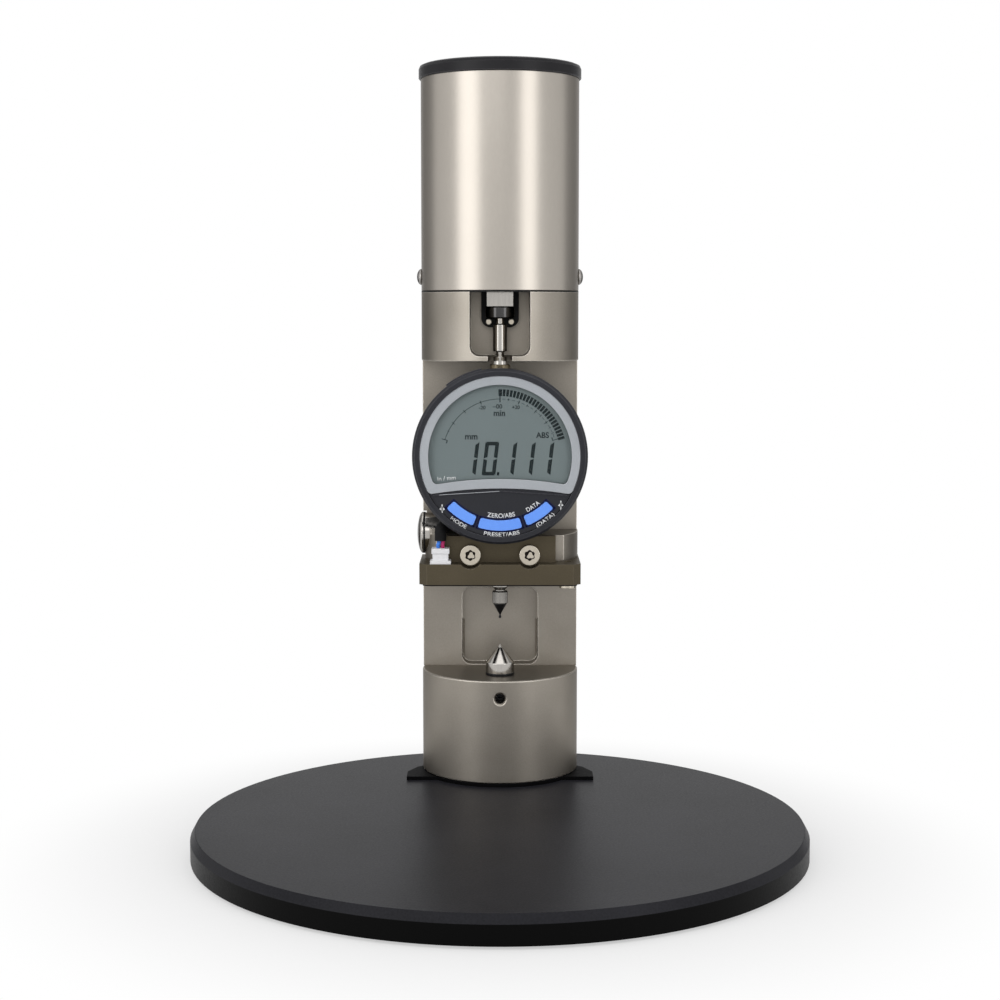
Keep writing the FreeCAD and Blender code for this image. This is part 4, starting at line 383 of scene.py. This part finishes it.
def dial_piece(name, outlines, face, finish, thick=PRINT_THICK):
    """One mesh from several closed outlines, raised from a face of the dial."""
    form = bmesh.new()
    for outline in outlines:
        lower = [form.verts.new(dial_point(x, z, face)) for x, z in outline]
        upper = [form.verts.new(dial_point(x, z, face, thick)) for x, z in outline]
        form.faces.new(upper)
        form.faces.new(lower[::-1])
        bridged(form, (lower, upper))
    bmesh.ops.recalc_face_normals(form, faces=form.faces)
    finished(form, name, finish, "display")


def around(radius, degrees):
    """A point on a circle of the dial."""
    turn = math.radians(degrees)
    return (radius * math.sin(turn), radius * math.cos(turn))


def ray_bar(inner, outer, width, degrees):
    """A short bar that points outwards."""
    half = math.degrees(width / 2 / ((inner + outer) / 2))
    return [around(inner, degrees - half), around(inner, degrees + half),
            around(outer, degrees + half), around(outer, degrees - half)]


def arc_strip(inner, outer, start, end, steps):
    """A curved line in short straight parts."""
    sweep = [start + (end - start) * index / steps for index in range(steps + 1)]
    return [[around(outer, angle), around(outer, after), around(inner, after), around(inner, angle)]
            for angle, after in zip(sweep, sweep[1:])]


def stroke_outline(letter, right):
    """One stroke of a slanted figure whose right side stands at a place."""
    middle = (DIGIT_LOW + DIGIT_HIGH) / 2
    left = right - DIGIT_WIDE
    lower = (DIGIT_LOW + STROKE_GAP, middle - STROKE_GAP)
    upper = (middle + STROKE_GAP, DIGIT_HIGH - STROKE_GAP)
    uprights = {"b": (right, -1, *upper, STROKE_NICK, STROKE_CUT),
                "c": (right, -1, *lower, STROKE_CUT, STROKE_NICK),
                "f": (left, 1, *upper, STROKE_NICK, STROKE_CUT),
                "e": (left, 1, *lower, STROKE_CUT, STROKE_NICK)}
    if letter in uprights:
        x, side, low, high, low_trim, high_trim = uprights[letter]
        inner = x + side * STROKE
        points = [(x, low), (x, high), (inner, high - high_trim), (inner, low + low_trim)]
    else:
        level, step = {"a": (DIGIT_HIGH, -STROKE), "d": (DIGIT_LOW, STROKE)}[letter]
        points = [(left + 2 * STROKE_GAP, level), (right - 2 * STROKE_GAP, level),
                  (right - STROKE_GAP - STROKE_CUT, level + step),
                  (left + STROKE_GAP + STROKE_CUT, level + step)]
    return [(x + SLANT * (z - DIGIT_LOW), z) for x, z in points]


def make_reading():
    outlines = []
    for figure, right in READING:
        outlines += [stroke_outline(letter, right) for letter in STROKES[figure]]
    outlines.append([(x, DIGIT_LOW + up) for x, up in DECIMAL_POINT])
    dial_piece("reading_digits", outlines, CELL_FACE, INK)


def make_scale():
    """The thin arc with its ticks and the bar graph to the right."""
    outlines = arc_strip(*THIN_ARC, -SCALE_END, 0, THIN_STEPS)
    for start in DASH_STARTS:
        outlines += arc_strip(*DASH_ARC, start, start + DASH_SWEEP, DASH_STEPS)
    outlines += [ray_bar(*LONG_TICK, angle) for angle in LONG_ANGLES]
    for angle in (-SCALE_END, SCALE_END):
        outlines.append(ray_bar(*END_TICK, angle))
        outlines.append(ray_bar(*END_FOOT, angle - END_FOOT_ASIDE))
    outlines.append(ray_bar(*ZERO_TICK, 0))
    outlines += [ray_bar(*SHORT_TICK, angle) for angle in SHORT_ANGLES]
    dial_piece("scale_marks", outlines, CELL_FACE, INK)
    bars = [ray_bar(*GRAPH_FIRST, GRAPH_FIRST_ANGLE)]
    bars += [ray_bar(*GRAPH_BAR, GRAPH_START + GRAPH_SWEEP * index / (GRAPH_COUNT - 1))
             for index in range(GRAPH_COUNT)]
    dial_piece("bar_graph", bars, CELL_FACE, INK)


def make_cell_front():
    """The cell's face just inside the glass, so that the two don't share one plane."""
    source = NODES["lcd_panel"]
    mesh = source.data.copy()
    mesh.name = "cell_front"
    mesh.transform(source.matrix_world)
    mesh.transform(Matrix.Translation((0.0, -CELL_LIFT * MM, 0.0)))
    linked("cell_front", mesh, "display")


def straight(right, up, tilt=0.0):
    """Letters on a straight line through a place of the dial, tilted by some degrees."""
    turn = math.radians(tilt)
    return lambda x, z: (right + x * math.cos(turn) - z * math.sin(turn),
                         up + x * math.sin(turn) + z * math.cos(turn))


def curved(radius, degrees):
    """Letters on a circle below the middle of the dial, degrees from the bottom to the right."""
    def place(x, z):
        turn = math.radians(degrees) + x / radius
        reach = radius - z
        return (reach * math.sin(turn), -reach * math.cos(turn))
    return place


# Words on the dial: name, words, height, line that they stand on, face, finish, width.
WORDS = (
    ("unit_mm", "mm", 2.2, straight(-9.7, 6.9), CELL_FACE, INK, 0.95),
    ("label_abs", "ABS", 1.95, straight(14.4, 7.3), CELL_FACE, INK, 0.95),
    ("label_minus", "-20", 1.25, straight(-6.0, 16.6), CELL_FACE, INK, 1.0),
    ("label_zero", "\u201300", 1.45, straight(-0.8, 17.0), CELL_FACE, INK, 1.05),
    ("label_plus", "+20", 1.25, straight(5.35, 16.7), CELL_FACE, INK, 1.0),
    ("label_unit", "min", 2.1, straight(-0.2, 14.8), CELL_FACE, INK, 0.95),
    ("label_inch", "in / mm", 1.5, straight(-18.1, -7.3, 4), CELL_FACE, WHITE_INK, 1.0),
    ("print_mode", "MODE", 1.4, curved(26.42, -32.2), PANEL_FACE, WHITE_INK, 1.15),
    ("print_zero", "ZERO/ABS", 1.55, curved(20.0, 1.2), PANEL_FACE, WHITE_INK, 0.97),
    ("print_preset", "PRESET/ABS", 1.4, curved(26.42, 1.2), PANEL_FACE, WHITE_INK, 1.25),
    ("print_data", "DATA", 1.5, curved(20.2, 33.3), PANEL_FACE, WHITE_INK, 0.92),
    ("print_data_low", "(DATA)", 1.4, curved(26.42, 35.5), PANEL_FACE, WHITE_INK, 1.15),
)


def lettering(name, words, high, place, face, finish, wide):
    """Words as a flat mesh. place turns (along, up) from their middle into dial millimetres."""
    text = bpy.data.curves.new(name + "_text", "FONT")
    text.body = words
    text.align_x = "CENTER"
    text.size = 1.0
    text.offset = STROKE_WIDER
    holder = bpy.data.objects.new(name + "_text", text)
    bpy.context.scene.collection.objects.link(holder)
    bpy.context.view_layer.update()
    drawn = holder.evaluated_get(bpy.context.evaluated_depsgraph_get())
    flat = bpy.data.meshes.new_from_object(drawn)
    bpy.data.objects.remove(holder)
    form = bmesh.new()
    form.from_mesh(flat)
    bpy.data.meshes.remove(flat)
    lifted = bmesh.ops.extrude_face_region(form, geom=form.faces[:])
    top = {item for item in lifted["geom"] if isinstance(item, bmesh.types.BMVert)}
    for vertex in form.verts:
        along, rise = vertex.co.x * high / CAP_SHARE * wide, vertex.co.y * high / CAP_SHARE
        right, up = place(along, rise - high / 2)
        vertex.co = dial_point(right, up, face, PRINT_THICK if vertex in top else 0.0)
    bmesh.ops.recalc_face_normals(form, faces=form.faces)
    finished(form, name, finish, "display")


def make_panel_marks():
    outlines = [[(right + x, up + z) for x, z in shape]
                for right, up in ARROW_PLACES for shape in ARROW_SHAPES]
    dial_piece("panel_arrows", outlines, PANEL_FACE, WHITE_INK)


def make_key_outlines():
    """A navy line round each button, on the panel."""
    for name, start, end in KEY_SPANS:
        left, right = 180 - end, 180 - start
        outlines = []
        for inner, outer in KEY_ARCS:
            outlines += arc_strip(inner, outer, left - KEY_ARC_PAST, right + KEY_ARC_PAST, KEY_STEPS)
        outlines.append(ray_bar(*KEY_BAR, left - KEY_BAR_ASIDE))
        outlines.append(ray_bar(*KEY_BAR, right + KEY_BAR_ASIDE))
        dial_piece("key_outline_" + name, outlines, PANEL_FACE, NAVY, KEY_LINE_THICK)


def make_ridge(name, finish, left, right, steps, low, high, thick):
    """A strip along the lower edge of the silver frame."""
    edge = [left + (right - left) * index / steps for index in range(steps + 1)]
    places = [(x, RIDGE_UP - RIDGE_SLOPE * abs(x)) for x in edge]
    outlines = [[(x, up + low), (after, after_up + low), (after, after_up + high), (x, up + high)]
                for (x, up), (after, after_up) in zip(places, places[1:])]
    dial_piece(name, outlines, PANEL_FACE, finish, thick)


# The two wires of the lamp: name, finish, whether it stands on the left, and how far it leans.
# Their points are aside in leans, back and up in millimetres from the lower or the upper end.
WIRES = (("lead_blue", WIRE_BLUE, True, 0.25), ("lead_pink", WIRE_PINK, False, 0.1))
WIRE_LOWER = ((0.0, 0.0, 0.0), (-1.0, -0.1, 0.9))
WIRE_UPPER = ((1.0, 0.0, -0.6), (1.5, 0.0, 0.6))
WIRE_FACETS = 5


def tube_curve(name, points, radius, finish, body):
    """A smooth round wire through some points."""
    curve = bpy.data.curves.new(name, "CURVE")
    curve.dimensions = "3D"
    curve.bevel_depth = radius
    curve.bevel_resolution = WIRE_FACETS
    curve.use_fill_caps = True
    spline = curve.splines.new("NURBS")
    spline.points.add(len(points) - 1)
    for point, place in zip(spline.points, points):
        point.co = (*place, 1.0)
    spline.order_u = 3
    spline.use_endpoint_u = True
    curve.materials.append(finish)
    return linked(name, curve, body)


def make_wires():
    low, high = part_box("lamp_wires")
    middle = (low[1] + high[1]) / 2
    radius = (high[1] - low[1]) / 2
    for name, finish, on_left, lean in WIRES:
        x = low[0] + radius if on_left else high[0] - radius
        points = [(x + aside * lean * MM, middle + back * MM, end + up * MM)
                  for end, part in ((low[2], WIRE_LOWER), (high[2], WIRE_UPPER))
                  for aside, back, up in part]
        wire = tube_curve(name, points, radius, finish, "frame")
        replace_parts(wire, "lamp_wires")


# The knurl of the contact's holder: flutes and their depth in millimetres, points on each flute,
# and the bevel of its ends as a share of the radius.
FLUTES, FLUTE_DEEP, FLUTE_POINTS, FLUTE_BEVEL = 30, 0.12, 4, 0.12


def make_knurl():
    """A fluted ring that stands for the plain contact holder, with the same height and radius."""
    low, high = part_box("contact_body")
    middle = ((low[0] + high[0]) / 2, (low[1] + high[1]) / 2)
    radius = (high[0] - low[0]) / 2
    bevel = radius * FLUTE_BEVEL
    levels = ((low[2], radius - bevel), (low[2] + bevel, radius),
              (high[2] - bevel, radius), (high[2], radius - bevel))
    count = FLUTES * FLUTE_POINTS
    form = bmesh.new()
    rings = []
    for height, reach in levels:
        ring = []
        for step in range(count):
            angle = 2 * math.pi * step / count
            size = reach - FLUTE_DEEP * MM * (0.5 - 0.5 * math.cos(angle * FLUTES))
            ring.append(form.verts.new((middle[0] + size * math.cos(angle),
                                        middle[1] + size * math.sin(angle), height)))
        rings.append(ring)
    bridged(form, rings)
    form.faces.new(rings[0][::-1])
    form.faces.new(rings[-1])
    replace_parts(finished(form, "contact_holder_knurl", KNURLED, "spindle"), "contact_body")


# Painted shade in the recesses of the two holder screws, and their bright floors. Each lobed outline is
# the number of its lobes, the number of its points, and its middle radius and swing as shares of the
# head's radius.
RECESS, RECESS_THICK = (6, 72, 0.5, 0.045), 0.02
RECESS_FLOOR, RECESS_FLOOR_THICK = (3, 48, 0.3, 0.07), 0.01
RECESS_FLOOR_RIGHT, RECESS_FLOOR_DOWN = 0.25, 0.1


def lobed_disc(name, centre, radius, outline, face, thick, finish):
    """A thin disc with a lobed outline that faces the front."""
    lobes, count, share, swing = outline
    form = bmesh.new()
    loops = []
    for depth in (face, face - thick * MM):
        loop = []
        for index in range(count):
            turn = 2 * math.pi * index / count
            reach = radius * (share + swing * math.cos(lobes * turn))
            loop.append(form.verts.new((centre[0] + reach * math.sin(turn), depth,
                                        centre[1] + reach * math.cos(turn))))
        loops.append(loop)
    form.faces.new(loops[0])
    form.faces.new(loops[1][::-1])
    bridged(form, loops)
    bmesh.ops.recalc_face_normals(form, faces=form.faces)
    finished(form, name, finish, "frame")


def make_screw_recesses():
    """A dark six-lobed disc of painted shade in the recess of each of the two holder screws, with a
    bright floor of the screw's own finish.
    """
    low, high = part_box("holder_screws")
    radius = (high[2] - low[2]) / 2
    level = (high[2] + low[2]) / 2
    face = low[1]
    floor_face = face - RECESS_THICK * MM
    for side, x in (("left", low[0] + radius), ("right", high[0] - radius)):
        lobed_disc("holder_recess_" + side, (x, level), radius, RECESS, face, RECESS_THICK, RECESS_SHADE_PAINT)
        place = (x + RECESS_FLOOR_RIGHT * MM, level - RECESS_FLOOR_DOWN * MM)
        lobed_disc("holder_recess_floor_" + side, place, radius, RECESS_FLOOR, floor_face,
                   RECESS_FLOOR_THICK, SCREW)


# The painted shadow in the joint between tube and head shows on the front and the sides. Sizes in
# millimetres.
JOINT_START, JOINT_SWEEP, JOINT_STEPS = math.radians(-180), math.radians(180), 96
JOINT_PROUD, JOINT_BELOW, JOINT_ABOVE = 0.02, 0.3, 0.15


def make_joint_shadow():
    """A dark band of painted shadow in the joint between the upper tube and the head."""
    low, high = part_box("top_cover")
    radius = (high[0] - low[0]) / 2 + JOINT_PROUD * MM
    middle_y = (low[1] + high[1]) / 2
    turns = [JOINT_START + JOINT_SWEEP * index / JOINT_STEPS for index in range(JOINT_STEPS + 1)]
    form = bmesh.new()
    rings = [[form.verts.new((radius * math.cos(turn), middle_y + radius * math.sin(turn), height))
              for turn in turns]
             for height in (low[2] - JOINT_BELOW * MM, low[2] + JOINT_ABOVE * MM)]
    bridged(form, rings, closed=False)
    finished(form, "joint_shadow", BLACK_PLASTIC, "frame")


DOME_STEPS, DOME_RINGS = 40, 8


def make_domes():
    """Domed heads for the two screws at the sides of the tube."""
    low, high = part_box("cover_screws")
    radius = (high[2] - low[2]) / 2
    level, middle = (high[2] + low[2]) / 2, (high[1] + low[1]) / 2
    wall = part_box("top_cover")[1][0]
    rise = high[0] - wall
    turns = [2 * math.pi * step / DOME_STEPS for step in range(DOME_STEPS)]
    form = bmesh.new()
    for side in (-1, 1):
        rings = []
        for ring in range(DOME_RINGS):
            slope = math.pi / 2 * ring / DOME_RINGS
            reach = radius * math.cos(slope)
            out = side * (wall + rise * math.sin(slope))
            rings.append([form.verts.new((out, middle + reach * math.cos(turn),
                                          level + reach * math.sin(turn))) for turn in turns])
        tip = form.verts.new((side * high[0], middle, level))
        bridged(form, rings)
        last = rings[-1]
        for step in range(DOME_STEPS):
            form.faces.new((last[step], last[(step + 1) % DOME_STEPS], tip))
        form.faces.new(rings[0])
    bmesh.ops.recalc_face_normals(form, faces=form.faces)
    for face in form.faces:
        face.smooth = True
    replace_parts(finished(form, "cover_domes", DOMED, "frame"), "cover_screws")


# The camera stands where the photograph's did: metres, lens and film in millimetres, degrees down.
CAMERA_PLACE, CAMERA_DOWN, CAMERA_LENS, CAMERA_FILM = (0.0, -0.607, 0.172985), 5.583, 69.03, 36.0

# Lamps: name, turn about the column from the front in degrees, reach and height in metres,
# width and height of the lamp in metres, radiance. They look at the middle of the column.
LIGHT_TARGET = Vector((0.0, 0.06, 0.15))
LAMPS = (
    ("key_left", -46, 0.75, 0.28, (0.42, 0.95), 1.9),
    ("key_right", 42, 0.75, 0.28, (0.3, 0.95), 1.9),
    ("front", -8, 1.3, 0.75, (0.8, 0.5), 1.6),
    ("top", 0, 0.1, 0.95, (0.7, 0.7), 0.9),
)

# Cards behind the sides: name and turn, distance and size in metres, and the heights between
# which they go from dark to light.
CARDS = (("card_left", -128), ("card_right", 125))
CARD_REACH, CARD_WIDE, CARD_HIGH = 0.32, 0.22, 0.5
CARD_HEIGHTS, CARD_DARK, CARD_LIGHT = (0.04, 0.2), colour(45, 45, 45), colour(176, 176, 176)

# World and floor: strength of the world on the object and as seen, and the share of plain white
# on the floor, which grows with the distance from the middle so that the near shadow shows.
WORLD_STRENGTHS = (0.5, 1.0)
FLOOR_HALF, FLOOR_COLOUR, FLOOR_ROUGH = 6.0, colour(236, 236, 236), 0.9
FLOOR_REACHES, FLOOR_SHARES = (0.09, 0.175), (0.5, 1.0)


def make_camera():
    camera = bpy.data.cameras.new("camera")
    camera.lens = CAMERA_LENS
    camera.sensor_width = CAMERA_FILM
    item = bpy.data.objects.new("camera", camera)
    item.location = CAMERA_PLACE
    item.rotation_euler = (math.radians(90 - CAMERA_DOWN), 0.0, 0.0)
    bpy.context.scene.collection.objects.link(item)
    bpy.context.scene.camera = item


def soft_light(name, degrees, reach, height, size, radiance):
    """A soft rectangle that looks at the column."""
    turn = math.radians(degrees)
    place = Vector((reach * math.sin(turn), LIGHT_TARGET.y - reach * math.cos(turn), height))
    light = bpy.data.lights.new(name, "AREA")
    light.shape = "RECTANGLE"
    light.size, light.size_y = size
    light.energy = radiance * math.pi * size[0] * size[1]
    item = bpy.data.objects.new(name, light)
    item.location = place
    item.rotation_euler = (LIGHT_TARGET - place).to_track_quat("-Z", "Y").to_euler()
    bpy.context.scene.collection.objects.link(item)


def card_material():
    """A matt grey that is darker towards the foot of the card."""
    made, tree = new_material("side_card")
    glow = tree.nodes.new("ShaderNodeEmission")
    share = ranged(tree, height_of(tree, "Position"), CARD_HEIGHTS)
    tree.links.new(colour_mix(tree, share, CARD_DARK, CARD_LIGHT), glow.inputs["Color"])
    tree.links.new(glow.outputs["Emission"], tree.nodes["Material Output"].inputs["Surface"])
    return made


def stage_plane(name, half, scale, finish):
    """A flat piece of the rig, which isn't part of the object."""
    mesh = bpy.data.meshes.new(name)
    form = bmesh.new()
    bmesh.ops.create_grid(form, x_segments=1, y_segments=1, size=half)
    bmesh.ops.scale(form, vec=scale, verts=form.verts)
    form.to_mesh(mesh)
    form.free()
    mesh.materials.append(finish)
    plane = bpy.data.objects.new(name, mesh)
    bpy.context.scene.collection.objects.link(plane)
    return plane


def make_side_card(name, degrees, finish):
    """An upright card behind one side, seen only in reflections, that darkens the edges of metal."""
    turn = math.radians(degrees)
    card = stage_plane(name, 0.5, (CARD_WIDE, CARD_HIGH, 1.0), finish)
    aside = Vector((math.sin(turn), -math.cos(turn), 0.0))
    card.location = LIGHT_TARGET + CARD_REACH * aside
    card.rotation_euler = (LIGHT_TARGET - card.location).to_track_quat("Z", "Y").to_euler()
    card.visible_camera = False
    card.visible_diffuse = False
    card.visible_shadow = False


def seen_share(tree):
    """One for rays that show the surroundings: from the camera, off metal and through glass."""
    path = tree.nodes.new("ShaderNodeLightPath")
    clear = computed(tree, "MAXIMUM", path.outputs["Is Glossy Ray"], path.outputs["Is Transmission Ray"])
    return computed(tree, "MAXIMUM", path.outputs["Is Camera Ray"], clear)


def make_world():
    world = bpy.data.worlds.new("surroundings")
    bpy.context.scene.world = world
    world.use_nodes = True
    tree = world.node_tree
    background = tree.nodes["Background"]
    background.inputs["Color"].default_value = (1.0, 1.0, 1.0, 1.0)
    strength = ranged(tree, seen_share(tree), (0.0, 1.0), WORLD_STRENGTHS)
    tree.links.new(strength, background.inputs["Strength"])


def floor_material():
    """White that keeps part of the shadow near the object and fades to plain white."""
    made, tree = new_material("floor_white")
    shader = tree.nodes["Principled BSDF"]
    shader.inputs["Base Color"].default_value = FLOOR_COLOUR
    shader.inputs["Roughness"].default_value = FLOOR_ROUGH
    glow = tree.nodes.new("ShaderNodeEmission")
    reach = tree.nodes.new("ShaderNodeVectorMath")
    reach.operation = "LENGTH"
    place = tree.nodes.new("ShaderNodeTexCoord")
    tree.links.new(place.outputs["Object"], reach.inputs[0])
    fade = ranged(tree, reach.outputs["Value"], FLOOR_REACHES, FLOOR_SHARES, smooth=True)
    mix = tree.nodes.new("ShaderNodeMixShader")
    tree.links.new(computed(tree, "MULTIPLY", seen_share(tree), fade), mix.inputs["Fac"])
    tree.links.new(shader.outputs["BSDF"], mix.inputs[1])
    tree.links.new(glow.outputs["Emission"], mix.inputs[2])
    tree.links.new(mix.outputs["Shader"], tree.nodes["Material Output"].inputs["Surface"])
    return made


for node_name, node_finish in FINISHES.items():
    dress(node_name, node_finish)
make_screw_recesses()
make_joint_shadow()
make_domes()
make_cell_front()
make_reading()
make_scale()
for word in WORDS:
    lettering(*word)
make_panel_marks()
make_key_outlines()
make_ridge("panel_ridge", CASE_PLASTIC, *RIDGE_LIP)
# A silver strip along the left half of the lip: a painted highlight.
make_ridge("panel_ridge_glint", SILVER, *RIDGE_GLINT)
make_wires()
make_knurl()

make_camera()
make_world()
stage_plane("floor", FLOOR_HALF, (1.0, 1.0, 1.0), floor_material())
for lamp in LAMPS:
    soft_light(*lamp)
card_finish = card_material()
for card_name, card_turn in CARDS:
    make_side_card(card_name, card_turn, card_finish)
bpy.context.scene.view_settings.view_transform = "Standard"
